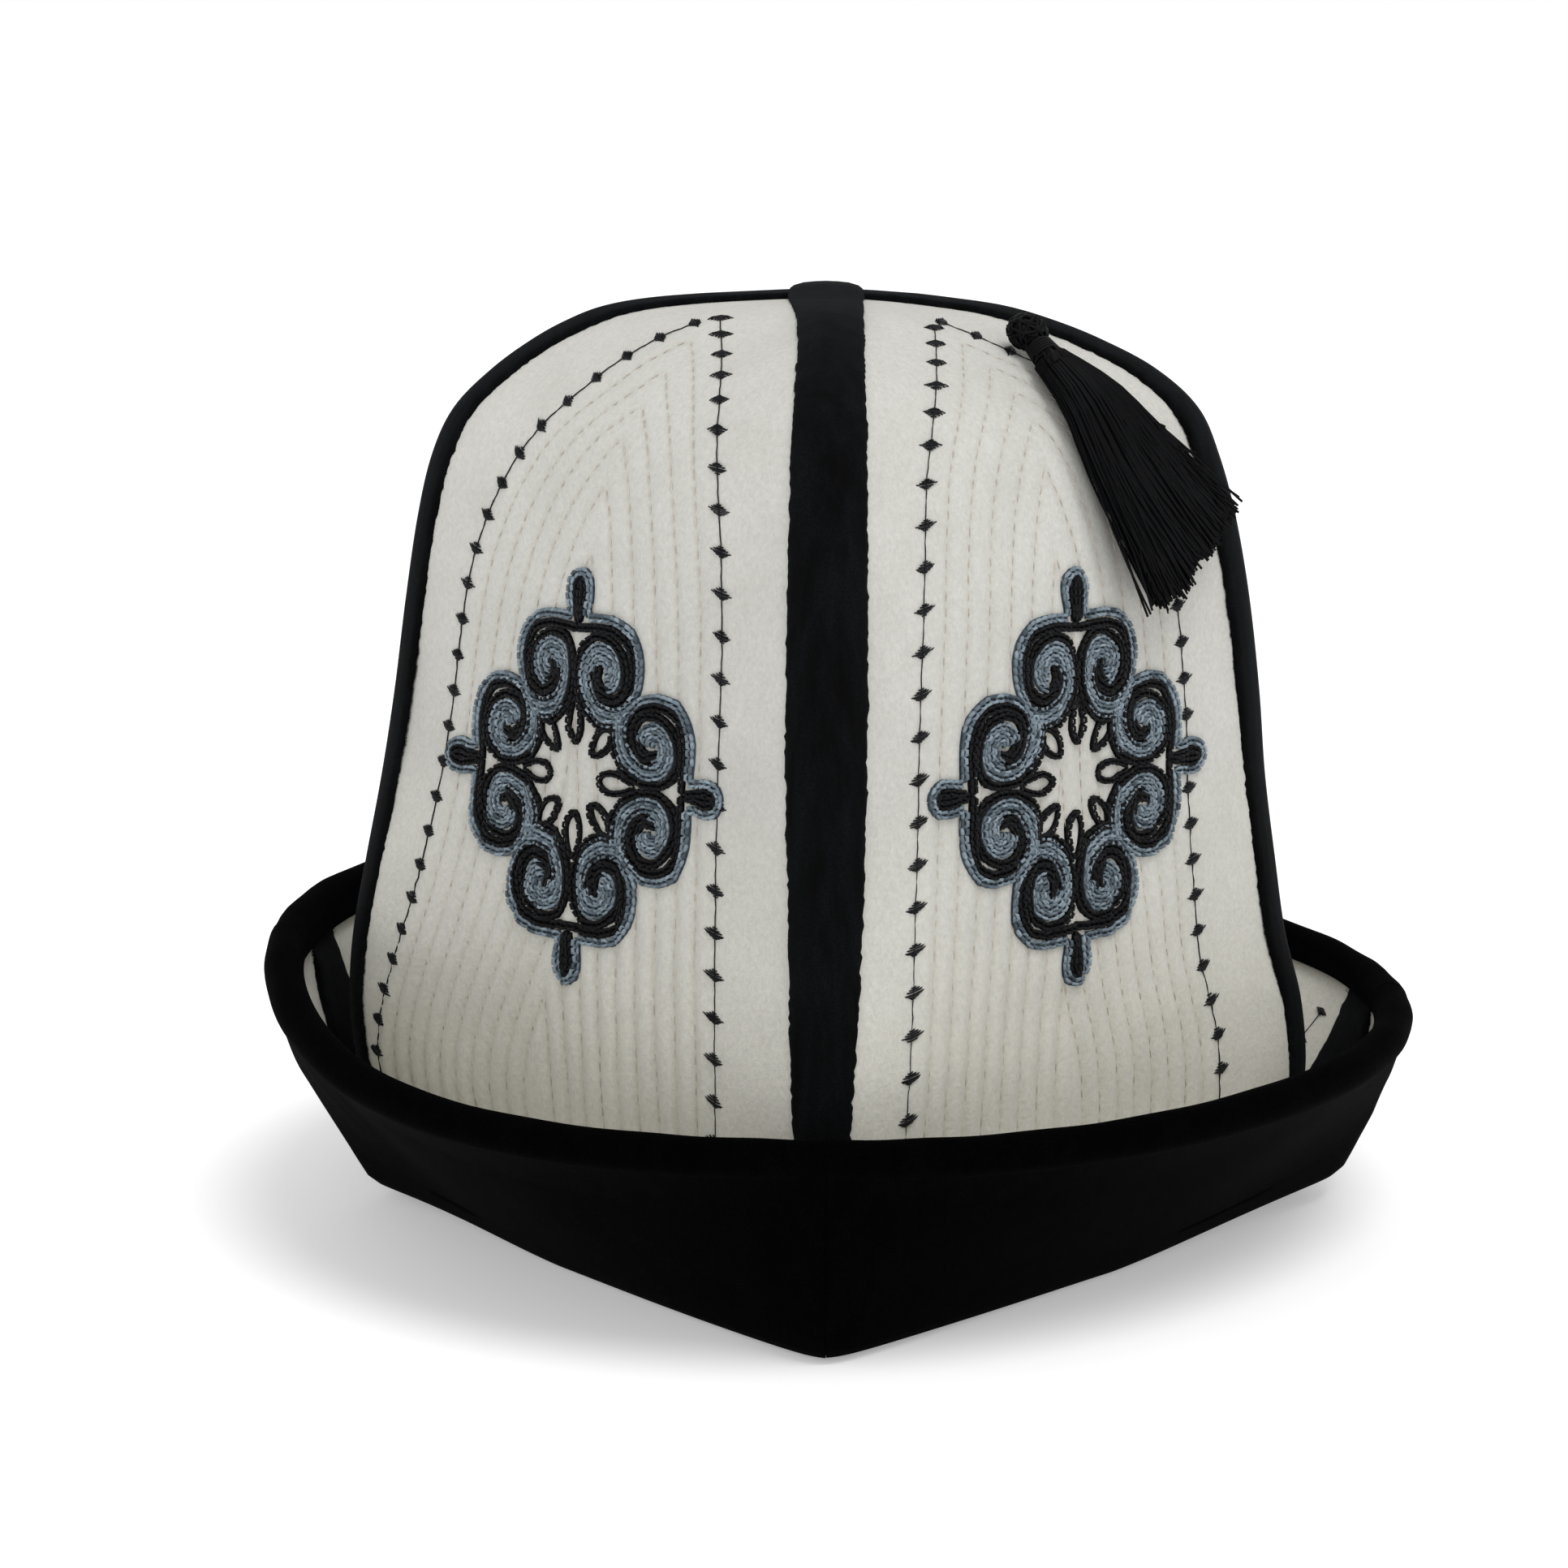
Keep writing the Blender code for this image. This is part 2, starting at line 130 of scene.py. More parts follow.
CORE_ROWS = len(CROWN)
LAST_ROW = CORE_ROWS + 2 + len(FOLD_ANGLES) + len(CUFF_RISE) - 1
ROW_WALL = CORE_ROWS
ROW_FOLD = CORE_ROWS + 2
ROW_CUFF = ROW_FOLD + len(FOLD_ANGLES)
VELVET_END = ROW_CUFF + 4.0

GORES = (
    # name, first seam
    ("front_right", 270),
    ("back_right", 0),
    ("back_left", 90),
    ("front_left", 180),
)

# ---------------------------------------------------------------- stitching sizes
# distance of a diamond line from its seam, by row of the profile
LINE_AT_FRONT = {
    "left": ((4, 26.2), (8, 24.9), (10.5, 23.6), (13.5, 24.9), (16.5, 26.5), (29, 27.5)),
    "right": ((4, 29.0), (7, 26.5), (9, 22.8), (12, 21.0), (14, 19.3), (16.5, 17.0), (29, 17.0)),
}
LINE_AT_SIDE = {
    "left": ((4, 33.5), (7.5, 34.0), (9.2, 26.5), (10.5, 21.2), (13, 21.5), (14.2, 20.2),
             (14.7, 18.3), (15.15, 15.6), (15.65, 13.0), (16.2, 10.3), (16.75, 7.6), (17.9, 7.0), (29, 20.0)),
    "right": ((4, 28.5), (6, 30.0), (8, 25.0), (11, 25.0), (13, 28.5), (15, 30.3), (17, 30.0), (29, 31.0)),
}
LINE_ON_CUFF = {"back_right": 26.0, "back_left": 33.0}
QUILT_PITCH = ((4, 8.3), (5.2, 8.0), (6.45, 7.5), (7.4, 7.3), (8.1, 6.5), (9, 6.3), (9.8, 5.95), (12, 5.6),
               (15.5, 5.33), (20, 5.3), (29, 5.3))
QUILT_DEPTH = ((4, 0.16), (9, 0.22), (12, 0.34), (15, 0.55), (18, 0.68), (20, 0.4), (22, 0.05))
QUILT_STITCH = 3.1       # pitch of the quilting stitches
QUILT_GAP = 0.5
DIAMOND_PITCH = 8.0
DIAMOND = (2.35, 1.15)   # half width across the line, half height along it
DIAMOND_STRANDS = 7
ORNAMENT_ROW = 12.55     # where the ornament's centre lies
CHAIN_PITCH = 1.55
CHAIN_WIDTH = 1.62

# one scroll of the ornament, left of the top pair; millimetres from the pair's axis and the centre
SCROLL_BLACK_INNER = ((-7.2, 21.9), (-5.8, 19.8), (-7.3, 17.4), (-10.5, 16.3), (-13.4, 18.0), (-14.2, 21.3),
                      (-13.3, 24.7), (-10.5, 27.2), (-6.6, 28.2), (-3.1, 27.0), (-1.2, 24.2), (-0.8, 20.5),
                      (-1.3, 16.8), (-3.1, 13.5), (-5.6, 11.3), (-8.3, 10.5), (-10.8, 10.9))
SCROLL_BLACK_OUTER = ((0.0, 29.3), (-3.8, 29.5), (-7.8, 29.7), (-11.7, 29.0), (-14.7, 27.0), (-15.9, 23.8),
                      (-15.9, 20.5), (-14.8, 17.4), (-12.4, 15.4), (-9.4, 14.9), (-6.4, 16.1), (-4.6, 18.6),
                      (-5.2, 21.0))
SCROLL_GREY = ((-8.4, 18.6), (-10.6, 19.2), (-11.6, 21.7), (-10.8, 24.2), (-8.0, 25.6), (-5.0, 25.0),
               (-3.3, 22.4), (-3.2, 18.9), (-4.6, 15.9), (-7.2, 13.8), (-10.3, 13.1), (-13.0, 13.6))
SCROLL_CORE = ((-9.9, 17.6), (-7.4, 18.4), (-6.4, 20.2), (-6.9, 22.4))
SCROLL_OUTLINE = ((-2.6, 31.4), (-6.5, 31.6), (-10.4, 31.4), (-13.9, 30.2), (-16.4, 27.9), (-17.6, 24.7),
                  (-17.7, 21.3), (-16.9, 18.2), (-15.0, 15.7), (-13.2, 14.2))
FINIAL_OUTLINE = ((-2.6, 31.4), (-2.5, 33.2), (-3.0, 35.6), (-2.8, 38.0), (-1.6, 39.8), (0.0, 40.3))
FINIAL_BLACK = ((-0.4, 30.6), (-0.8, 33.2), (-1.35, 36.0), (-1.1, 38.1), (0.0, 38.9))
PETAL_AXIS = ((-0.4, 16.3), (-1.35, 13.8), (-1.9, 11.3), (-1.85, 9.2), (-0.9, 7.5), (0.0, 6.8))
PETAL_DIAGONAL = ((-0.5, 15.0), (-1.5, 13.2), (-1.95, 11.2), (-1.7, 9.2), (-0.8, 7.5), (0.0, 6.9))


# ---------------------------------------------------------------- the shape
def plan(azimuth, soft, bow):
    c, s = np.cos(azimuth), np.sin(azimuth)
    square = (np.sqrt(1 + soft ** 2) + soft) / (np.sqrt(c * c + soft ** 2) + np.sqrt(s * s + soft ** 2))
    return square + bow * np.sin(2 * azimuth) ** 2


def spline(p0, p1, p2, p3, t):
    return 0.5 * (2 * p1 + (p2 - p0) * t + (2 * p0 - 5 * p1 + 4 * p2 - p3) * t * t
                  + (3 * p1 - p0 - 3 * p2 + p3) * t ** 3)


def cuff_at(azimuth):
    table = np.array([row[1:] for row in CUFF], float)
    where = (np.degrees(azimuth) % 360) / 45.0
    i = np.floor(where).astype(int)
    t = (where - i)[..., None]
    n = len(CUFF)
    return spline(table[(i - 1) % n], table[i % n], table[(i + 1) % n], table[(i + 2) % n], t)


def profile(azimuth):
    across = np.cos(azimuth)
    end = np.sin(azimuth) ** 2
    rows = []
    for height, left, right, soft, bow in CROWN:
        side = np.where(across < 0, left, right)
        reach = side * (1 - end) + (left + right) / 2 * end
        rows.append(np.stack([reach * plan(azimuth, soft, bow), height + 0 * azimuth], -1))
    fold_reach, fold_height, belly, rim_reach, rim_top = np.moveaxis(cuff_at(azimuth), -1, 0)
    fold = (fold_reach - 2.0) * plan(azimuth, BASE_SOFT, BASE_BOW)
    centre = np.maximum(fold_height, 0) + FOLD_DEPTH * math.cos(math.radians(20))
    inner = fold - FOLD_RADIUS
    rows.append(np.stack([0.45 * rows[-1][..., 0] + 0.55 * inner, centre + 9.0], -1))
    rows.append(np.stack([inner - 0.2, centre + 1.5], -1))
    for angle in FOLD_ANGLES:
        t = math.radians(angle)
        rows.append(np.stack([fold + FOLD_RADIUS * math.cos(t), centre + FOLD_RADIUS * math.sin(t)], -1))
    foot, foot_height = fold + FOLD_RADIUS + 0.3, centre + 2.0
    top = rim_top - ROLL_RADIUS
    for f in CUFF_RISE:
        rows.append(np.stack([foot + (rim_reach - foot) * f + belly * math.sin(math.pi * f),
                              foot_height + (top - foot_height) * f], -1))
    return np.stack(rows, -2)


def middle(azimuth, row):
    azimuth, row = np.broadcast_arrays(np.asarray(azimuth, float), np.asarray(row, float))
    rows = profile(azimuth)
    i = np.clip(np.floor(row).astype(int), 0, LAST_ROW - 1)
    t = (row - i)[..., None]

    def pick(k):
        return np.take_along_axis(rows, np.clip(k, 0, LAST_ROW)[..., None, None], axis=-2)[..., 0, :]

    p0, p1, p2, p3 = pick(i - 1), pick(i), pick(i + 1), pick(i + 2)
    p0 = np.where((i == 0)[..., None], 2 * p1 - p2, p0)
    p3 = np.where((i == LAST_ROW - 1)[..., None], 2 * p2 - p1, p3)
    rz = spline(p0, p1, p2, p3, t)
    return np.stack([rz[..., 0] * np.cos(azimuth), rz[..., 0] * np.sin(azimuth), rz[..., 1]], -1)


def unit(v):
    return v / np.maximum(np.linalg.norm(v, axis=-1, keepdims=True), 1e-9)


def normal(azimuth, row):
    azimuth, row = np.broadcast_arrays(np.asarray(azimuth, float), np.asarray(row, float))
    round_ = middle(azimuth + 1e-3, row) - middle(azimuth - 1e-3, row)
    down = middle(azimuth, np.clip(row + 0.01, 0, LAST_ROW)) - middle(azimuth, np.clip(row - 0.01, 0, LAST_ROW))
    return unit(np.cross(down, round_))


def top_height(x, y):
    azimuth = math.atan2(y, x)
    end = math.sin(azimuth) ** 2
    reach = math.hypot(x, y) / float(plan(np.array(azimuth), 0.06, 0.010))
    table = [((left if x < 0 else right) * (1 - end) + (left + right) / 2 * end, height)
             for height, left, right, soft, bow in CROWN[:6]]
    return float(np.interp(reach, [t[0] for t in table], [t[1] for t in table]))


def waves(count, shortest, longest, seed):
    """Smooth random surface height of about unit size over a plane, in millimetres."""
    rng = np.random.default_rng(seed)
    length = rng.uniform(shortest, longest, count)
    turn = rng.uniform(0, 2 * math.pi, count)
    phase = rng.uniform(0, 2 * math.pi, count)

    def height(x, y):
        total = 0.0
        for n, t, p in zip(length, turn, phase):
            total = total + np.sin((x * math.cos(t) + y * math.sin(t)) * 2 * math.pi / n + p)
        return total / math.sqrt(count)

    return height


def smoothstep(x, low, high):
    t = np.clip((x - low) / (high - low), 0, 1)
    return t * t * (3 - 2 * t)


class Gore:
    """Dense tables of one gore's middle surface, and the lay of the stitching on it."""

    ROWS = np.linspace(0, LAST_ROW, LAST_ROW * 12 + 1)
    SHARE = np.linspace(0, 1, 221)
    HALF = np.linspace(-92, 92, 369)

    def __init__(self, name, first):
        self.name, self.first = name, first
        side = "left" if "left" in name else "right"
        azimuths = math.radians(first) + np.arctan2(self.SHARE, 1 - self.SHARE)
        self.azimuths = azimuths
        grid_a, grid_r = np.broadcast_arrays(azimuths[None, :], self.ROWS[:, None])
        self.point = middle(grid_a, grid_r)
        self.normal = normal(grid_a, grid_r)
        step = np.linalg.norm(np.diff(self.point, axis=1), axis=-1)
        self.across = np.concatenate([np.zeros((len(self.ROWS), 1)), np.cumsum(step, 1)], 1)
        self.width = self.across[:, -1].copy()
        self.across -= self.width[:, None] / 2
        mid = len(self.SHARE) // 2
        along = np.linalg.norm(np.diff(self.point[:, mid], axis=0), axis=-1)
        self.down = np.concatenate([[0], np.cumsum(along)])
        self.down -= np.interp(ORNAMENT_ROW, self.ROWS, self.down)
        self.share_at = np.array([np.interp(self.HALF, line, self.SHARE) for line in self.across])
        # front seam at share 0 for front_right and back_left
        front_first = name in ("front_right", "back_left")
        near, far = LINE_AT_FRONT[side], LINE_AT_SIDE[side]
        if not front_first:
            near, far = far, near
        if name in LINE_ON_CUFF:
            # at a back gore's side seam the line moves on the cuff
            moved = tuple(v for v in LINE_AT_SIDE[side] if v[0] < 18) + ((18, LINE_AT_SIDE[side][-2][1]),
                                                                       (23, LINE_ON_CUFF[name]), (29, LINE_ON_CUFF[name]))
            near, far = (moved, far) if near is LINE_AT_SIDE[side] else (near, moved)
        self.line0 = self.smooth(near)
        self.line1 = self.smooth(far)
        self.pitch = self.smooth(QUILT_PITCH)
        self.depth = self.smooth(QUILT_DEPTH)
        self.half = (self.width - self.line0 - self.line1) / 2
        self.axis = (self.line0 - self.line1) / 2
        self.front_first = front_first
        self.slow = waves(7, 34, 70, 11 + first)
        self.quick = waves(9, 9, 20, 12 + first)

    def smooth(self, table):
        raw = np.interp(self.ROWS, [t[0] for t in table], [t[1] for t in table])
        reach = 12
        kernel = np.hanning(2 * reach + 3)[1:-1]
        kernel /= kernel.sum()
        return np.convolve(np.pad(raw, reach, mode="edge"), kernel, mode="valid")

    def row_at(self, down):
        return np.interp(down, self.down, self.ROWS)

    def table(self, values, row):
        return np.interp(row, self.ROWS, values)

    def look(self, table, row, column):
        """Bilinear look-up by row value and column index."""
        r = np.clip(np.asarray(row, float) * 12, 0, len(self.ROWS) - 1.001)
        c = np.clip(np.asarray(column, float), 0, table.shape[1] - 1.001)
        i, j = r.astype(int), c.astype(int)
        t, u = r - i, c - j
        if table.ndim == 3:
            t, u = t[..., None], u[..., None]
        return ((table[i, j] * (1 - t) + table[i + 1, j] * t) * (1 - u)
                + (table[i, j + 1] * (1 - t) + table[i + 1, j + 1] * t) * u)

    def count(self, row, across):
        """How many quilting lines lie between a point and the diamond line; negative outside it."""
        x = np.sqrt((across - self.table(self.axis, row)) ** 2 + 0.3)
        return (self.table(self.half, row) - x) / self.table(self.pitch, row)

    def relief(self, row, across):
        """Puffed channels of the quilting, and the felt's own unevenness."""
        n = self.count(row, across)
        inside = smoothstep(n, -0.22, 0.1)
        gap = np.abs(n - np.round(n)) * self.table(self.pitch, row)
        groove = np.exp(-(gap / 0.75) ** 2)
        puff = np.sin(np.pi * n) ** 2
        depth = self.table(self.depth, row)
        down = np.interp(row, self.ROWS, self.down)
        crown = smoothstep(row, 3.0, 6.0) * (1 - smoothstep(row, 19.5, 21.5))
        uneven = 0.32 * self.slow(across, down) + 0.05 * self.quick(across, down)
        return inside * depth * (0.75 * puff - 0.75 * groove) + crown * uneven

    def on(self, row, share, lift):
        """Points at a lift from the felt's middle, by row and share across."""
        column = np.asarray(share) * (len(self.SHARE) - 1)
        p = self.look(self.point, row, column)
        return p + np.asarray(lift)[..., None] * unit(self.look(self.normal, row, column))

    def share(self, row, across):
        column = (np.asarray(across) - self.HALF[0]) / (self.HALF[1] - self.HALF[0])
        return self.look(self.share_at, row, column)

    def lay(self, flat):
        """Points given flat as (across, down, lift over the embroidered face)."""
        row = self.row_at(flat[..., 1])
        across = flat[..., 0]
        lift = FELT / 2 + self.relief(row, across) + flat[..., 2]
        return self.on(row, self.share(row, across), lift)


# ---------------------------------------------------------------- meshes
def mesh_object(name, points, faces, mat, smooth=True, attributes=None):
    """Piece from points in the tables' millimetres and faces of three or four corners."""
    points = np.asarray(points, float).reshape(-1, 3)
    placed = (points - np.array([CENTRE[0], CENTRE[1], 0.0])) * MM
    mesh = bpy.data.meshes.new(name)
    mesh.vertices.add(len(placed))
    mesh.vertices.foreach_set("co", placed.astype(np.float32).ravel())
    groups = [np.asarray(f, np.int32) for f in faces if len(f)]
    corners = np.concatenate([g.ravel() for g in groups])
    totals = np.concatenate([np.full(len(g), g.shape[1], np.int32) for g in groups])
    starts = np.concatenate([[0], np.cumsum(totals)[:-1]]).astype(np.int32)
    mesh.loops.add(len(corners))
    mesh.loops.foreach_set("vertex_index", corners)
    mesh.polygons.add(len(totals))
    mesh.polygons.foreach_set("loop_start", starts)
    mesh.polygons.foreach_set("loop_total", totals)
    mesh.polygons.foreach_set("use_smooth", np.full(len(totals), smooth, bool))
    for key, values in (attributes or {}).items():
        layer = mesh.attributes.new(key, "FLOAT", "POINT")
        layer.data.foreach_set("value", np.asarray(values, np.float32).ravel())
    mesh.update(calc_edges=True)
    mesh.validate()
    mesh.materials.append(mat)
    obj = bpy.data.objects.new(name, mesh)
    bpy.context.scene.collection.objects.link(obj)
    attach(obj, "root")
    return obj


def grid_faces(rows, columns, start=0, flip=False):
    index = start + np.arange(rows * columns).reshape(rows, columns)
    a, b, c, d = index[:-1, :-1], index[1:, :-1], index[1:, 1:], index[:-1, 1:]
    order = (a, d, c, b) if flip else (a, b, c, d)
    return np.stack([x.ravel() for x in order], -1)


def tubes(paths, up, radius, sides=4, flat=1.0, start=0):
    """Tubes along many paths at once: returns their points and faces."""
    paths = np.asarray(paths, float)
    along = np.gradient(paths, axis=1)
    along = unit(along)
    across = unit(np.cross(np.broadcast_to(up, paths.shape), along))
    high = np.cross(along, across)
    turn = 2 * math.pi * (np.arange(sides) + 0.5) / sides
    ring = (across[:, :, None, :] * np.cos(turn)[:, None]
            + flat * high[:, :, None, :] * np.sin(turn)[:, None])
    radius = np.broadcast_to(np.asarray(radius, float), paths.shape[:2])
    points = paths[:, :, None, :] + radius[:, :, None, None] * ring
    count, length = paths.shape[:2]
    index = start + np.arange(count * length * sides).reshape(count, length, sides)
    nxt = np.roll(index, -1, axis=2)
    faces = np.stack([index[:, :-1], nxt[:, :-1], nxt[:, 1:], index[:, 1:]], -1).reshape(-1, 4)
    return points.reshape(-1, 3), faces


class Heap:
    """Collects points and faces of one joined mesh."""

    def __init__(self):
        self.points, self.faces, self.size = [], {3: [], 4: []}, 0
        self.tags = []

    def add(self, points, faces, tag=0.0):
        points = np.asarray(points, float).reshape(-1, 3)
        faces = np.asarray(faces)
        self.points.append(points)
        self.faces[faces.shape[1]].append(faces + self.size)
        self.tags.append(np.broadcast_to(np.asarray(tag, float).ravel(), (len(points),)))
        self.size += len(points)

    def tube(self, paths, up, radius, sides=4, flat=1.0, tag=None):
        points, faces = tubes(paths, up, radius, sides, flat)
        if tag is None:
            tag = np.repeat(RNG.random(len(paths)), paths.shape[1] * sides)
        self.add(points, faces, tag)

    def grid(self, grid, flip=False, tag=0.0):
        self.add(grid.reshape(-1, 3), grid_faces(*grid.shape[:2], flip=flip), tag)

    def all(self):
        faces = [np.concatenate(f) for f in self.faces.values() if f]
        return np.concatenate(self.points), faces, np.concatenate(self.tags)

    def make(self, name, mat, smooth=True):
        points, faces, tags = self.all()
        return mesh_object(name, points, faces, mat, smooth, {"tone": tags})


def resample(path, step, closed=False):
    """Smooth curve through a few points, at even steps."""
    p = np.asarray(path, float)
    ends = np.concatenate([[2 * p[0] - p[1]], p, [2 * p[-1] - p[-2]]])
    t = np.linspace(0, 1, 17)[:-1, None]
    fine = np.concatenate([spline(ends[i], ends[i + 1], ends[i + 2], ends[i + 3], t) for i in range(len(p) - 1)]
                          + [p[-1:]])
    length = np.concatenate([[0], np.cumsum(np.linalg.norm(np.diff(fine, axis=0), axis=-1))])
    count = max(2, int(round(length[-1] / step)) + 1)
    want = np.linspace(0, length[-1], count)
    return np.stack([np.interp(want, length, fine[:, k]) for k in range(fine.shape[1])], -1)


# ---------------------------------------------------------------- materials
def new_material(name, roughness, sheen=0.0, sheen_roughness=0.5, sheen_tint=(1, 1, 1), specular=0.5):
    mat = bpy.data.materials.new(name)
    mat.use_nodes = True
    nodes, links = mat.node_tree.nodes, mat.node_tree.links
    shader = nodes["Principled BSDF"]
    shader.inputs["Roughness"].default_value = roughness
    shader.inputs["Metallic"].default_value = 0.0
    shader.inputs["Specular IOR Level"].default_value = specular
    shader.inputs["Sheen Weight"].default_value = sheen
    shader.inputs["Sheen Roughness"].default_value = sheen_roughness
    shader.inputs["Sheen Tint"].default_value = (*sheen_tint, 1.0)
    return mat, nodes, links, shader


def noise(nodes, links, vector, scale, detail=3.0, roughness=0.55):
    node = nodes.new("ShaderNodeTexNoise")
    node.inputs["Scale"].default_value = scale
    node.inputs["Detail"].default_value = detail
    node.inputs["Roughness"].default_value = roughness
    links.new(vector, node.inputs["Vector"])
    return node.outputs["Fac"]


def ramp(nodes, links, value, stops):
    node = nodes.new("ShaderNodeValToRGB")
    while len(node.color_ramp.elements) < len(stops):
        node.color_ramp.elements.new(0.5)
    for element, (place, colour) in zip(node.color_ramp.elements, stops):
        element.position = place
        element.color = (*colour, 1.0)
    links.new(value, node.inputs["Fac"])
    return node.outputs["Color"]


def mix(nodes, links, share, a, b, kind="MIX"):
    node = nodes.new("ShaderNodeMix")
    node.data_type = "RGBA"
    node.blend_type = kind
    for key, value in (("Factor", share), ("A", a), ("B", b)):
        socket = [s for s in node.inputs if s.name == key and s.enabled][0]
        if isinstance(value, bpy.types.NodeSocket):
            links.new(value, socket)
        elif key == "Factor":
            socket.default_value = value
        else:
            socket.default_value = (*value, 1.0)
    return [s for s in node.outputs if s.enabled][0]


def maths(nodes, links, kind, a, b=None):
    node = nodes.new("ShaderNodeMath")
    node.operation = kind
    for k, value in enumerate((a, b)):
        if value is None:
            continue
        if isinstance(value, bpy.types.NodeSocket):
            links.new(value, node.inputs[k])
        else:
            node.inputs[k].default_value = value
    return node.outputs[0]


def bump(nodes, links, shader, height, strength, distance):
    node = nodes.new("ShaderNodeBump")
    node.inputs["Strength"].default_value = strength
    node.inputs["Distance"].default_value = distance
    links.new(height, node.inputs["Height"])
    links.new(node.outputs["Normal"], shader.inputs["Normal"])


def placed(nodes):
    return nodes.new("ShaderNodeTexCoord").outputs["Object"]


def stretched(nodes, links, vector, scale):
    node = nodes.new("ShaderNodeMapping")
    node.inputs["Scale"].default_value = scale
    links.new(vector, node.inputs["Vector"])
    return node.outputs["Vector"]


def felt_material():
    mat, nodes, links, shader = new_material("felt_wool", 0.92, 0.25, 0.6, (1.0, 0.985, 0.95), 0.2)
    where = placed(nodes)
    cloud = noise(nodes, links, where, 55.0, 4.0)
    grain = noise(nodes, links, where, 900.0, 4.0, 0.7)
    fibre = noise(nodes, links, stretched(nodes, links, where, (1.0, 1.0, 0.45)), 2400.0, 3.0, 0.7)
    base = ramp(nodes, links, cloud, ((0.30, (0.635, 0.630, 0.590)), (0.70, (0.695, 0.690, 0.652))))
    tone = ramp(nodes, links, grain, ((0.30, (0.86, 0.86, 0.855)), (0.65, (1.0, 1.0, 1.0))))
    base = mix(nodes, links, 1.0, base, tone, "MULTIPLY")
    tone = ramp(nodes, links, fibre, ((0.35, (0.93, 0.925, 0.92)), (0.6, (1.0, 1.0, 1.0))))
    base = mix(nodes, links, 1.0, base, tone, "MULTIPLY")
    # painted shade: the felt's colour is darker along the quilting grooves
    painted_groove_shade = nodes.new("ShaderNodeAttribute")
    painted_groove_shade.attribute_name = "painted_groove_shade"
    shade = ramp(nodes, links, painted_groove_shade.outputs["Fac"], ((0.0, (1.0, 1.0, 1.0)), (1.0, (0.93, 0.915, 0.885))))
    base = mix(nodes, links, 1.0, base, shade, "MULTIPLY")
    # painted light and shade by height: the felt is darkest at mid height, lighter towards the top, and lightest and
    # warmest towards the fold
    parts = nodes.new("ShaderNodeSeparateXYZ")
    links.new(where, parts.inputs["Vector"])
    painted_light_height = maths(nodes, links, "MULTIPLY", parts.outputs["Z"], 5.0)
    shade = ramp(nodes, links, painted_light_height, ((0.25, (1.0, 0.99, 0.95)), (0.50, (0.86, 0.86, 0.855)), (0.85, (0.94, 0.94, 0.935))))
    base = mix(nodes, links, 1.0, base, shade, "MULTIPLY")
    links.new(base, shader.inputs["Base Color"])
    height = maths(nodes, links, "ADD", maths(nodes, links, "MULTIPLY", grain, 0.7), maths(nodes, links, "MULTIPLY", fibre, 0.3))
    bump(nodes, links, shader, height, 0.55, 0.00045)
    return mat


def velvet_material(name, dark, light, sheen, tint, streak, specular=0.08):
    """Short black pile: fine nap, streaks along the way it was brushed, sheen at grazing angles."""
    mat, nodes, links, shader = new_material(name, 0.9, sheen, 0.42, tint, specular)
    where = placed(nodes)
    nap = noise(nodes, links, where, 2600.0, 3.0, 0.7)
    brushed = noise(nodes, links, stretched(nodes, links, where, streak), 260.0, 4.0, 0.6)
    patch = noise(nodes, links, where, 60.0, 3.0)
    base = ramp(nodes, links, brushed, ((0.35, dark), (0.72, light)))
    tone = ramp(nodes, links, nap, ((0.36, (0.22, 0.22, 0.22)), (0.66, (1.0, 1.0, 1.0))))
    base = mix(nodes, links, 1.0, base, tone, "MULTIPLY")
    tone = ramp(nodes, links, patch, ((0.35, (0.75, 0.75, 0.76)), (0.65, (1.0, 1.0, 1.0))))
    base = mix(nodes, links, 1.0, base, tone, "MULTIPLY")
    links.new(base, shader.inputs["Base Color"])
    height = maths(nodes, links, "ADD", nap, maths(nodes, links, "MULTIPLY", brushed, 0.8))
    bump(nodes, links, shader, height, 0.5, 0.0004)
    return mat


def thread_material(name, dark, light, roughness, sheen, specular=0.4, twist=1500.0):
    """Spun thread: each strand has its own tone, with fine plies across it."""
    mat, nodes, links, shader = new_material(name, roughness, sheen, 0.4, (1, 1, 1), specular)
    where = placed(nodes)
    tone = nodes.new("ShaderNodeAttribute")
    tone.attribute_name = "tone"
    ply = noise(nodes, links, where, twist, 2.0, 0.6)
    fade = noise(nodes, links, where, 180.0, 3.0)
    base = ramp(nodes, links, tone.outputs["Fac"], ((0.0, dark), (1.0, light)))
    shade = ramp(nodes, links, ply, ((0.3, (0.72, 0.72, 0.73)), (0.65, (1.0, 1.0, 1.0))))
    base = mix(nodes, links, 1.0, base, shade, "MULTIPLY")
    shade = ramp(nodes, links, fade, ((0.3, (0.86, 0.86, 0.87)), (0.7, (1.0, 1.0, 1.0))))
    base = mix(nodes, links, 1.0, base, shade, "MULTIPLY")
    links.new(base, shader.inputs["Base Color"])
    bump(nodes, links, shader, ply, 0.4, 0.00012)
    return mat


# ---------------------------------------------------------------- felt
def spaced(values, lengths, step):
    """Values resampled so that the lengths between them are about one step."""
    count = max(2, int(round((lengths[-1] - lengths[0]) / step)) + 1)
    return np.interp(np.linspace(lengths[0], lengths[-1], count), lengths, values)


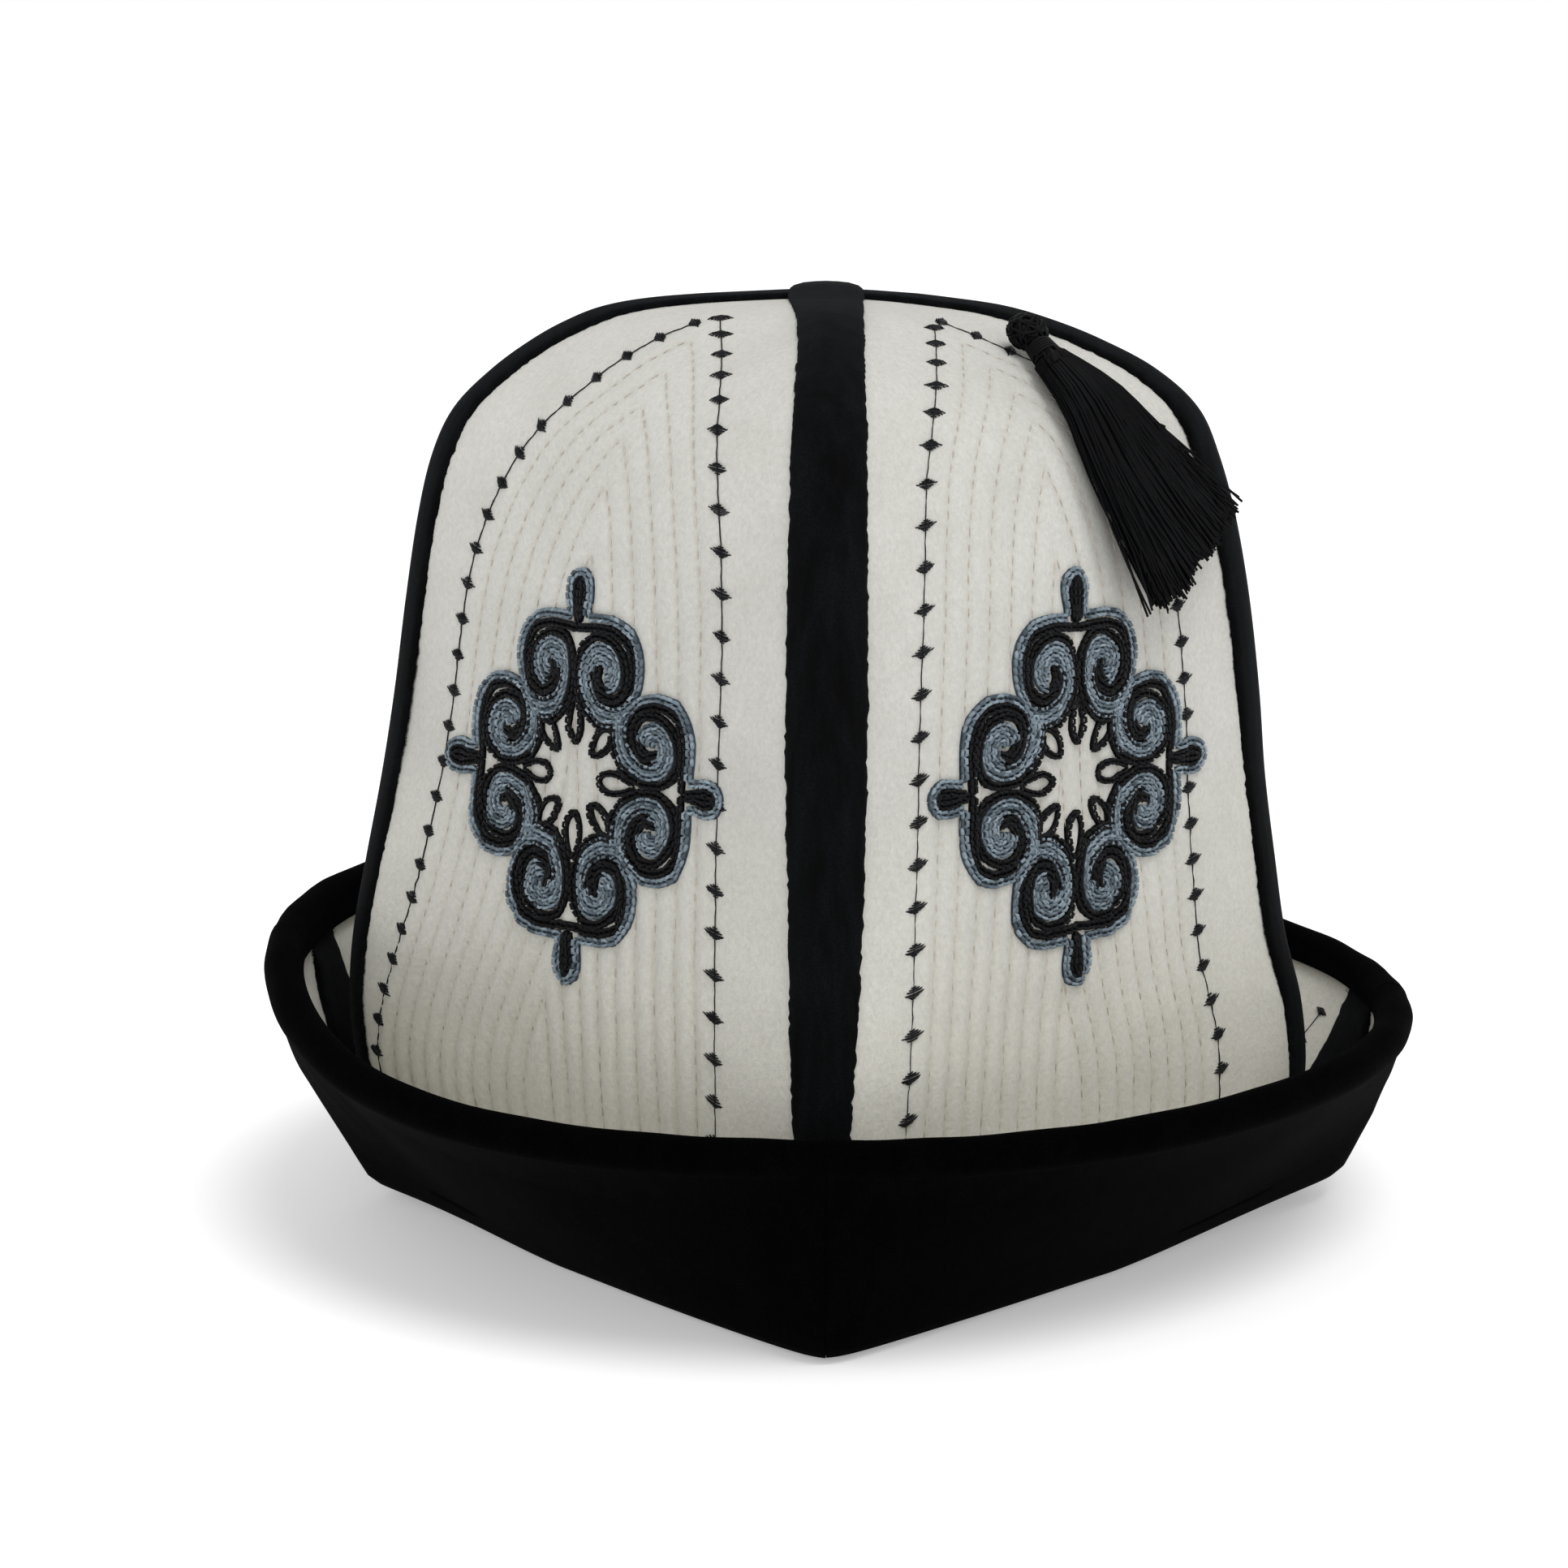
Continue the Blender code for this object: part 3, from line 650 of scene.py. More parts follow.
def felt_gore(gore, mat):
    top = gore.ROWS <= ROW_FOLD
    rows = np.concatenate([spaced(gore.ROWS[top], gore.down[top], 1.55),
                           spaced(gore.ROWS[~top], gore.down[~top], 2.2)])
    rows = rows[rows > 0.2]
    columns = np.concatenate([[0.0015, 0.006], np.linspace(0.0145, 0.9855, 150), [0.994, 0.9985]])
    grid_r, grid_a = np.meshgrid(rows, columns, indexing="ij")
    across = gore.look(gore.across, grid_r, grid_a * (len(gore.SHARE) - 1))
    outer = gore.on(grid_r, grid_a, FELT / 2 + gore.relief(grid_r, across))
    count = gore.count(grid_r, across)
    gap = np.abs(count - np.round(count)) * gore.table(gore.pitch, grid_r)
    # painted shade along the quilting grooves, carried to the felt's colour
    painted_groove_shade = np.exp(-(gap / 0.8) ** 2) * smoothstep(count, 0.4, 0.9) * (1 - smoothstep(grid_r, 19.0, 20.5))
    heap = Heap()
    heap.grid(outer, flip=False, tag=painted_groove_shade)
    # plain inner face, coarser
    rows_in = np.concatenate([rows[:-1:3], rows[-1:]])
    columns_in = columns[[0, 1] + list(range(2, 152, 4)) + [151, 152, 153]]
    in_r, in_a = np.meshgrid(rows_in, columns_in, indexing="ij")
    heap.grid(gore.on(in_r, in_a, np.full(in_r.shape, -FELT / 2)), flip=True)
    inner = gore.on(grid_r, grid_a, np.full(grid_r.shape, -FELT / 2))
    for edge, under, flip in ((outer[:, 0], inner[:, 0], False), (outer[:, -1], inner[:, -1], True),
                              (outer[0], inner[0], True), (outer[-1], inner[-1], False)):
        heap.grid(np.stack([edge, under], 1), flip=not flip)
    points, faces, tags = heap.all()
    obj = mesh_object("felt_" + gore.name, points, faces, mat, True, {"painted_groove_shade": tags})
    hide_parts("felt_gore_" + gore.name)
    return obj


# ---------------------------------------------------------------- stitches
def line_path(gore, lines_in, side, first_row=3.0, last_row=20.0):
    """Flat path of the quilting line that lies a number of lines in from the diamond line."""
    rows = np.linspace(first_row, last_row, 900)
    reach = gore.table(gore.half, rows) - lines_in * gore.table(gore.pitch, rows)
    keep = reach > 0.15
    if not keep.any():
        return None
    rows, reach = rows[keep], reach[keep]
    across = gore.table(gore.axis, rows) + side * reach
    return np.stack([across, np.interp(rows, gore.ROWS, gore.down), 0 * rows], -1)


def steps_along(gore, path, pitch, start=0.0):
    """Lengths along a flat path as laid, and the flat points at even steps."""
    laid = gore.lay(path)
    length = np.concatenate([[0], np.cumsum(np.linalg.norm(np.diff(laid, axis=0), axis=-1))])
    want = np.arange(start, length[-1], pitch)
    return length, want


def at_length(path, length, want):
    return np.stack([np.interp(want, length, path[:, k]) for k in range(3)], -1)


UP = np.array([0.0, 0.0, 1.0])


def quilting(gores, mat):
    heap = Heap()
    for gore in gores:
        most = int(np.max(gore.half / gore.pitch))
        for lines_in in range(1, most + 1):
            for side in (-1, 1):
                path = line_path(gore, lines_in, side, last_row=20.6)
                if path is None or len(path) < 8:
                    continue
                length, want = steps_along(gore, path, QUILT_STITCH, RNG.uniform(0, 1.0))
                want = want[:-1]
                if len(want) < 1:
                    continue
                begin = want + RNG.uniform(0, 0.3, len(want))
                end = want + QUILT_STITCH - QUILT_GAP + RNG.uniform(-0.2, 0.2, len(want))
                share = np.array([0.0, 0.3, 0.7, 1.0])
                spots = begin[:, None] + (end - begin)[:, None] * share
                flat = at_length(path, length, spots.ravel()).reshape(len(want), 4, 3)
                flat[..., 2] += np.array([-0.10, 0.13, 0.13, -0.10])
                flat[..., 0] += RNG.normal(0, 0.05, (len(want), 1))
                points, faces = tubes(flat, UP, 0.13, 3)
                heap.add(gore.lay(points), faces, np.repeat(RNG.random(len(want)), 12))
    return heap.make("quilting_stitches", mat)


def diamonds(gores, mat):
    heap = Heap()
    for gore in gores:
        for side in (-1, 1):
            path = line_path(gore, 0.0, side, last_row=27.0)
            # the outer line of each gore is the one at its side seam
            outer_line = (side > 0) == gore.front_first
            pitch = DIAMOND_PITCH * (0.93 if outer_line else 1.0)
            length, want = steps_along(gore, path, pitch, 1.5 if side > 0 else (2.2 if gore.name == "back_right" else 5.0))
            spot = at_length(path, length, want)
            ahead = at_length(path, length, np.minimum(want + 1.0, length[-1]))
            back = at_length(path, length, want - 1.0)
            way = unit(ahead - back)
            aside = np.stack([-way[:, 1], way[:, 0], 0 * way[:, 0]], -1)
            level = np.stack([np.ones(len(way)), 0 * way[:, 0], 0 * way[:, 0]], -1) * np.sign(aside[:, :1])
            aside = unit(aside * 0.6 + level * 0.4)
            size = np.array(DIAMOND) * (((1.18, 1.02) if gore.name == "front_right" else (0.98, 1.0)) if outer_line else (1.0, 1.0))
            slant = (0.15 if outer_line else 0.30) * (1 if gore.front_first else -1)
            count = len(want)
            for k in range(DIAMOND_STRANDS):
                v = (k + 0.5) / DIAMOND_STRANDS * 2 - 1
                half = size[0] * (1 - abs(v)) + 0.30
                half = half * RNG.uniform(0.88, 1.1, count)
                share = np.array([-1.0, -0.55, 0.55, 1.0])
                lift = np.array([-0.15, 0.42, 0.42, -0.15])
                offset = v * size[1] + RNG.normal(0, 0.05, count)
                line = (spot[:, None] + aside[:, None] * (share[None, :, None] * half[:, None, None])
                        + way[:, None] * (offset[:, None, None]
                                          + slant * share[None, :, None] * half[:, None, None]))
                line[..., 2] += lift * (1.15 - 0.3 * abs(v))
                points, faces = tubes(line, UP, 0.20 if outer_line else 0.17, 3)
                heap.add(gore.lay(points), faces, np.repeat(RNG.random(count), 12))
            share = np.linspace(0, 1, 6)
            spots = want[:-1, None] + (pitch * share)[None]
            flat = at_length(path, length, spots.ravel()).reshape(count - 1, 6, 3)
            flat[..., 2] += np.array([0.10, 0.20, 0.08, 0.20, 0.17, 0.10])
            flat[..., 0] += RNG.normal(0, 0.06, (count - 1, 6))
            points, faces = tubes(flat, UP, 0.15, 3)
            heap.add(gore.lay(points), faces, np.repeat(RNG.random(count - 1), 18))
    return heap.make("diamond_stitches", mat)


def chain_row(heap, path, width=CHAIN_WIDTH, pitch=CHAIN_PITCH, rise=0.0):
    """One row of chain stitch on a flat path: a pair of lobes for every link, over a thin pad in the thread's darkest
    tone, which is painted shade in the gaps between the lobes.
    """
    p = resample(path, pitch)
    way = unit(np.gradient(p, axis=0))
    aside = np.stack([-way[:, 1], way[:, 0]], -1)
    n = len(p) - 1
    start, way0, aside0 = p[:n], way[:n], aside[:n]
    end = p[1:] + way[1:] * 0.45
    share = np.array([0.0, 0.34, 0.72, 1.0])
    swing = np.array([0.05, 0.33, 0.30, 0.02]) * width
    lift = np.array([0.05, 0.66, 0.74, 0.10])
    thick = np.array([0.12, 0.37, 0.37, 0.12])
    jitter = RNG.normal(0, 0.05, (n, 1, 2))
    for side in (-1, 1):
        spine = start[:, None] * (1 - share)[:, None] + end[:, None] * share[:, None]
        spine = spine + aside0[:, None] * (side * swing)[None, :, None] + jitter
        high = np.broadcast_to(lift + rise, spine.shape[:2]) + RNG.normal(0, 0.04, (n, 1))
        flat = np.concatenate([spine, high[..., None]], -1)
        scale = width / CHAIN_WIDTH
        heap.tube(flat, UP, thick * scale, 4, 0.85, tag=np.repeat(
            np.clip(0.55 + 0.28 * RNG.normal(size=n) + side * 0.12, 0, 1), 16))
    fine = resample(path, 1.2)
    way = unit(np.gradient(fine, axis=0))
    aside = np.stack([-way[:, 1], way[:, 0]], -1)
    pad = np.stack([np.concatenate([fine + aside * s * width * 0.52, np.full((len(fine), 1), h + rise)], -1)
                    for s, h in ((-1, -0.05), (-0.6, 0.16), (0.6, 0.16), (1, -0.05))], 1)
    # tone 0 is the thread's darkest colour: painted shade seen between the lobes
    heap.grid(pad, flip=True, tag=0.0)


def mirrored(path):
    return [(-x, y) for x, y in path]


def turned(path, degrees):
    c, s = math.cos(math.radians(degrees)), math.sin(math.radians(degrees))
    return [(c * x - s * y, s * x + c * y) for x, y in path]


def beside(path, distance):
    """Path running beside another one."""
    p = resample(path, 0.8)
    way = unit(np.gradient(p, axis=0))
    return p + np.stack([-way[:, 1], way[:, 0]], -1) * distance


def ornament_rows():
    """Rows of chain stitch of the whole ornament, y upwards: black ones and grey ones."""
    black, grey = [], []
    for pair in range(4):
        for mirror in (False, True):
            def put(path, shade, width=CHAIN_WIDTH):
                path = [tuple(p) for p in path]
                path = mirrored(path) if mirror else path
                shade.append((turned(path, 90 * pair), width))

            put(SCROLL_BLACK_INNER, black, 1.85)
            put(SCROLL_BLACK_OUTER, black, 1.9)
            put(SCROLL_CORE, black, 1.8)
            for offset in (-0.74, 0.74):
                put(beside(SCROLL_GREY, offset), grey)
            put(beside(SCROLL_GREY[:7], -2.05), grey, 1.5)
            put(beside(SCROLL_GREY[-4:], 1.9), grey, 1.5)
            put(SCROLL_OUTLINE, grey, 1.8)
            put(FINIAL_OUTLINE, grey, 1.75)
            put(FINIAL_BLACK, black)
            put(PETAL_AXIS, black, 1.35)
        black.append((turned([(0.0, 30.0), (0.0, 34.0), (0.0, 38.2)], 90 * pair), 1.5))
        for mirror in (False, True):
            path = mirrored(PETAL_DIAGONAL) if mirror else PETAL_DIAGONAL
            black.append((turned(path, 90 * pair + 45), 1.35))
    return black, grey


def ornaments(gores, black_mat, grey_mat):
    black, grey = ornament_rows()
    for gore in gores:
        lean = 0.075 if "right" in gore.name else -0.05
        if gore.name.startswith("back"):
            lean = -lean
        for rows, mat, shade in ((black, black_mat, "black"), (grey, grey_mat, "grey")):
            heap = Heap()
            for path, width in rows:
                p = np.array(path, float)
                wobble = RNG.normal(0, 0.05, 2)
                flat = np.stack([p[:, 0] + lean * p[:, 1] + wobble[0], -p[:, 1] + wobble[1]], -1)
                chain_row(heap, flat, width)
            points, faces, tags = heap.all()
            mesh_object("ornament_" + shade + "_" + gore.name, gore.lay(points), faces, mat,
                        True, {"tone": tags})


# ---------------------------------------------------------------- velvet
def strip_halfwidth(row):
    return np.interp(row, [r for r, w in STRIP_WIDTH], [w for r, w in STRIP_WIDTH])


STRIP_SHARES = np.array([-1.0, -0.99, -0.95, -0.85, -0.6, -0.3, 0.0, 0.3, 0.6, 0.85, 0.95, 0.99, 1.0])
STRIP_DOME = np.array([1.62, 2.2, 2.65, 2.86, 2.94, 3.0, 3.0, 3.0, 2.94, 2.86, 2.65, 2.2, 1.62])


def strip_middle(seam, rows, rough):
    """Points of the felt's middle under a strip, and the normals there."""
    centre = math.radians(seam)
    half = strip_halfwidth(rows)[:, None] * np.ones(len(STRIP_SHARES))
    if seam == 0:
        half = half + 1.4 * (STRIP_SHARES < 0) * smoothstep(rows, 5.0, 9.0)[:, None]
    if seam == 270:
        # the front strip narrows on its right towards the fold
        low = smoothstep(rows, 12.5, 18.5) * (1 - smoothstep(rows, 19.5, 22.0))
        upper = np.interp(rows, (2.6, 3.2, 4.0, 5.5, 7.0, 9.0, 12.0), (0.95, 0.88, 0.76, 0.72, 0.77, 0.86, 1.0))[:, None]
        half = half * np.where(STRIP_SHARES < 0, upper, 1.0)
        half = half * (1 - 0.40 * low[:, None] * (STRIP_SHARES > 0) + 0.08 * low[:, None] * (STRIP_SHARES < 0))
    aside = STRIP_SHARES * half + rough
    # on the cuff the side strips are wider, and lie a little behind the seam
    inside_cuff = smoothstep(rows, 19.0, 24.0)[:, None]
    if seam in (0, 180):
        wide = (6.5 if seam == 0 else 6.2) * STRIP_SHARES + rough
        moved = np.interp(rows, (19, 22, 25, 28), (0, 5.5, 6.7, 13.5) if seam == 0 else (0, -8, -12, -19))[:, None]
        aside = aside * (1 - inside_cuff) + (wide + moved) * inside_cuff
    turn = 0.0 * aside
    for step in range(12):
        p = middle(centre + turn, rows[:, None] + 0 * aside)
        turn = np.arcsin(np.clip(aside / np.hypot(p[..., 0], p[..., 1]), -0.7, 0.7))
    grid_r = rows[:, None] + 0 * aside
    return middle(centre + turn, grid_r), normal(centre + turn, grid_r)


def edge_rough(count, seed):
    """Uneven edges of the pile: neighbouring tufts differ by a few tenths of a millimetre."""
    rng = np.random.default_rng(seed)
    rough = np.zeros((count, len(STRIP_SHARES)))
    for k in (0, -1):
        a = rng.normal(0, 0.13, count)
        slow = np.convolve(rng.normal(0, 0.12, count + 8), np.ones(9) / 9, mode="valid")
        line = a + slow
        share = np.abs(STRIP_SHARES) ** 6
        half = (STRIP_SHARES < 0) if k == 0 else (STRIP_SHARES > 0)
        rough += line[:, None] * (share * half)[None]
    return rough


def seam_row_values(seam, low, high, step):
    rows = np.linspace(low, high, 800)
    line = middle(np.full(800, math.radians(seam)), rows)
    length = np.concatenate([[0], np.cumsum(np.linalg.norm(np.diff(line, axis=0), axis=-1))])
    return spaced(rows, length, step)


def strip_part(seam, low, high, seed):
    rows = seam_row_values(seam, low, high, 0.95)
    rough = edge_rough(len(rows), seed)
    p, n = strip_middle(seam, rows, rough)
    # flat where the cuff velvet is turned over it
    tucked = smoothstep(rows, 27.3, 27.9)[:, None]
    dome = STRIP_DOME[None] * (1 - tucked) + 1.9 * tucked
    return p + n * dome[..., None]


def crossing(seam, along, raise_):
    """Cross line of a strip on the flat top, domed, at a distance along its seam."""
    t = math.radians(seam)
    way = np.array([math.cos(t), math.sin(t)])
    aside = np.array([-math.sin(t), math.cos(t)])
    line = []
    for share, lift in zip(STRIP_SHARES, STRIP_DOME):
        x, y = way * along + aside * share * STRIP_WIDTH[0][1]
        edge = raise_ * (0.25 + 0.75 * (1 - abs(share) ** 5))
        line.append([x, y, top_height(x, y) + lift + edge])
    return np.array(line)


def close_strip(heap, grid):
    heap.grid(grid)
    for line, flip in ((grid[0], False), (grid[-1], True)):
        middle_ = line.mean(0)
        low = line + (np.array([0, 0, -1.2]) if True else 0)
        heap.grid(np.stack([line, low], 0), flip=flip)


def fuzz(heap, edge, out, up, per_mm, seed, reach=0.75, sunk=0.25):
    """Short pile hairs standing out from an edge line."""
    rng = np.random.default_rng(seed)
    length = np.concatenate([[0], np.cumsum(np.linalg.norm(np.diff(edge, axis=0), axis=-1))])
    count = int(length[-1] * per_mm)
    want = rng.uniform(0, length[-1], count)

    def pick(values):
        return np.stack([np.interp(want, length, values[:, k]) for k in range(3)], -1)

    root, way, high = pick(edge), unit(pick(out)), unit(pick(up))
    along = unit(np.cross(way, high))
    reach = reach * rng.uniform(0.35, 1.0, count)[:, None]
    lean = rng.normal(0, 0.45, count)[:, None]
    rise = rng.uniform(-0.15, 0.55, count)[:, None]
    root = root - way * sunk + high * rng.uniform(-0.2, 0.55, count)[:, None]
    tip = root + (way + along * lean + high * rise) * (reach + sunk)
    wide = along * 0.09
    points = np.stack([root - wide, root + wide, tip], 1).reshape(-1, 3)
    faces = np.arange(count * 3).reshape(count, 3)
    heap.add(points, faces, np.repeat(rng.random(count), 3))


def strip_fuzz(heap, grid, seed):
    for k, m in ((0, 3), (-1, -4)):
        edge = grid[:, k] * 0.6 + grid[:, k + (1 if k == 0 else -1)] * 0.4
        out = grid[:, k] - grid[:, m]
        along = np.gradient(edge, axis=0)
        up = np.cross(along, out)
        centre = grid[:, len(STRIP_SHARES) // 2]
        flip = np.sign(np.sum(up * (centre - grid[:, k]), -1, keepdims=True))
        up = up * np.where(np.abs(flip) < 0.5, 1, flip)
        out = out - unit(up) * np.sum(out * unit(up), -1, keepdims=True)
        fuzz(heap, edge, out, up, 5.0, seed + k)


def seam_strips(mat):
    end = VELVET_END + 0.35
    front = strip_part(270, 2.6, end, 31)
    back = strip_part(90, 2.6, end, 32)
    top = []
    for along in np.arange(9.5, -9.6, -0.95):
        top.append(crossing(270, along, STRIP_RAISE))
    low_f, low_b = front[0], back[0][::-1]
    # blend from the first row of each side to the raised crossing
    def bridge(a, b, count):
        t = smoothstep(np.linspace(0, 1, count + 2)[1:-1], 0, 1)[:, None, None]
        return a[None] * (1 - t) + b[None] * t
    top = np.array(top)
    span = int(np.linalg.norm(low_f[6] - top[0][6]) / 0.95)
    grid = np.concatenate([front[::-1], bridge(front[0], top[0], max(span, 2)), top,
                           bridge(top[-1], low_b, max(span, 2)), back[:, ::-1]])
    heap = Heap()
    close_strip(heap, grid)
    strip_fuzz(heap, grid, 41)
    obj = heap.make("strip_front_back", mat)
    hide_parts("seam_strip_front_back")
    for name, seam in (("right", 0), ("left", 180)):
        part = strip_part(seam, 2.4, end, 50 + seam)
        start = np.array([crossing(seam, d, 0.0) for d in (3.0, 6.0, 10.0)])
        grid = np.concatenate([start, part])
        heap = Heap()
        close_strip(heap, grid)
        strip_fuzz(heap, grid, 60 + seam)
        obj = heap.make("strip_" + name, mat)
        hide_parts("seam_strip_" + name)


def cuff_velvet(gore, mat):
    near = FELT / 2 + VELVET_GAP
    far = near + VELVET
    line = gore.point[:, len(gore.SHARE) // 2]
    length = np.concatenate([[0], np.cumsum(np.linalg.norm(np.diff(line, axis=0), axis=-1))])
    keep = (gore.ROWS >= ROW_WALL) & (gore.ROWS <= ROW_CUFF + 3.2)
    rows = spaced(gore.ROWS[keep], length[keep], 1.45)
    share = np.concatenate([[0.0003, 0.004, 0.009], np.linspace(0.016, 0.984, 92), [0.991, 0.996, 0.9997]])
    grid_r, grid_a = np.meshgrid(rows, share, indexing="ij")
    outside = gore.on(grid_r, grid_a, np.full(grid_r.shape, -far))
    outside[0] = gore.on(grid_r[0], grid_a[0], np.full(len(share), -near))
    outside = outside.copy()
    # gentle hollows and swells of the facing between the fold and the rim
    span = gore.look(gore.across, grid_r, grid_a * (len(gore.SHARE) - 1))
    down = np.interp(grid_r, gore.ROWS, gore.down)
    swell = 0.30 * gore.slow(span * 1.1, down) + 0.05 * gore.quick(span, down)
    fade = smoothstep(grid_r, ROW_FOLD + 2.5, ROW_CUFF + 1.0) * (1 - smoothstep(grid_r, 26.2, 27.2) * 0.5)
    out = -unit(gore.look(gore.normal, grid_r, grid_a * (len(gore.SHARE) - 1)))
    outside += out * (swell * fade)[..., None]
    # drawn tight from the fold to the rim: no hollow in its section, and a smaller bulge at the side seams
    turn = math.radians(gore.first) + np.arctan2(share, 1 - share)
    facing = unit((out * np.array([1.0, 1.0, 0.0]))[rows > ROW_CUFF + 1.0].mean(0))
    for angle, edge in ((gore.first, share), (gore.first + 90, 1 - share)):
        at_seam = np.exp(-(edge / 0.03) ** 2)[:, None]
        way = np.array([math.cos(math.radians(angle)), math.sin(math.radians(angle)), 0.0])
        facing = unit(facing * (1 - at_seam) + way * at_seam)
    at_side = np.abs(np.cos(turn))[None] ** 6
    foot = smoothstep(rows, ROW_FOLD + 0.3, ROW_FOLD + 1.6) * (1 - smoothstep(rows, ROW_CUFF + 0.5, ROW_CUFF + 2.0))
    pull = 1.2 if "left" in gore.name else -2.2
    outside -= facing[None] * (pull * at_side * foot[:, None])[..., None]
    reach = (outside * facing[None]).sum(-1)
    start = int(np.argmin(np.abs(rows - (ROW_FOLD + 1.2))))
    for k in range(len(share)):
        z, s = outside[start:, k, 2], reach[start:, k]
        hull = []
        for i in np.argsort(z, kind="stable"):
            while len(hull) > 1 and ((z[hull[-1]] - z[hull[-2]]) * (s[i] - s[hull[-2]])
                                     >= (s[hull[-1]] - s[hull[-2]]) * (z[i] - z[hull[-2]])):
                hull.pop()
            hull.append(i)
        tight = np.interp(z, z[hull], s[hull])
        outside[start:, k] += facing[k] * (0.96 * np.maximum(tight - s, 0))[:, None]
    edge_r = np.full(len(share), float(LAST_ROW))
    column = share * (len(gore.SHARE) - 1)
    tip = gore.look(gore.point, edge_r, column)
    n = unit(gore.look(gore.normal, edge_r, column))
    up = unit(tip - gore.look(gore.point, edge_r - 0.1, column))
    roll = []
    for angle in np.linspace(-38, 205, 17):
        t = math.radians(angle)
        bulge = ROLL_RADIUS + 0.12 * np.sin(span[0] * 0.35 + 0.5 * t) * math.sin(math.radians((angle + 38) * 180 / 243))
        roll.append(tip + bulge[:, None] * (-n * math.cos(t) + up * math.sin(t)))
    low = []
    for r, lift in ((28.35, near + 0.15 + VELVET), (28.15, near + 0.15 + VELVET), (28.0, near + 0.9),
                    (VELVET_END + 0.02, near - 0.3)):
        low.append(gore.on(np.full(len(share), r), share, np.full(len(share), lift)))
    grid = np.concatenate([outside, np.array(roll), np.array(low)])
    # sharper corner of the fold at the front and back seams
    first = math.radians(gore.first)
    for angle in (first, first + math.pi / 2):
        way = np.array([math.cos(angle), math.sin(angle), 0.0])
        aside = np.array([-math.sin(angle), math.cos(angle), 0.0])
        off = np.abs(grid @ aside)
        strength = 1.4 if abs(math.sin(angle)) > 0.5 else 0.5
        level = np.concatenate([rows, np.full(len(roll) + len(low), 40.0)])
        part = smoothstep(level, ROW_FOLD + 0.4, ROW_FOLD + 2.2) * (1 - smoothstep(level, ROW_CUFF + 0.2, ROW_CUFF + 3.0))
        grid = grid + way * (strength * np.exp(-(off / 6.5)) * part[:, None])[..., None]
        # the seam lies in a shallow groove
        sink = 0.22 * np.exp(-(off / 0.8) ** 2) * smoothstep(level, ROW_FOLD + 2.0, ROW_CUFF)[:, None]
        sink = sink * (level < 30)[:, None]
        grid = grid - way * sink[..., None]
    grid[..., 2] = np.maximum(grid[..., 2], 0.0)
    heap = Heap()
    heap.grid(grid, flip=True)
    # turned-in edges at the seams
    for k, flip in ((0, True), (-1, False)):
        edge = grid[:, k]
        inward = np.concatenate([np.broadcast_to(-out[:, k] * 2.6, (len(rows), 3)),
                                 (tip[k] - np.array(roll)[:, k]) * 0.3,
                                 -n[k] * 1.0 + np.zeros((len(low), 3))])
        heap.grid(np.stack([edge, edge + inward], 1), flip=not flip)
    obj = heap.make("cuff_" + gore.name, mat)
    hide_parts("cuff_velvet_" + gore.name)
    return grid


# ---------------------------------------------------------------- tassel
def on_crown(azimuth, row, lift):
    a, r = np.array(math.radians(azimuth)), np.array(float(row))
    n = normal(a, r)
    return middle(a, r) + lift * n, n


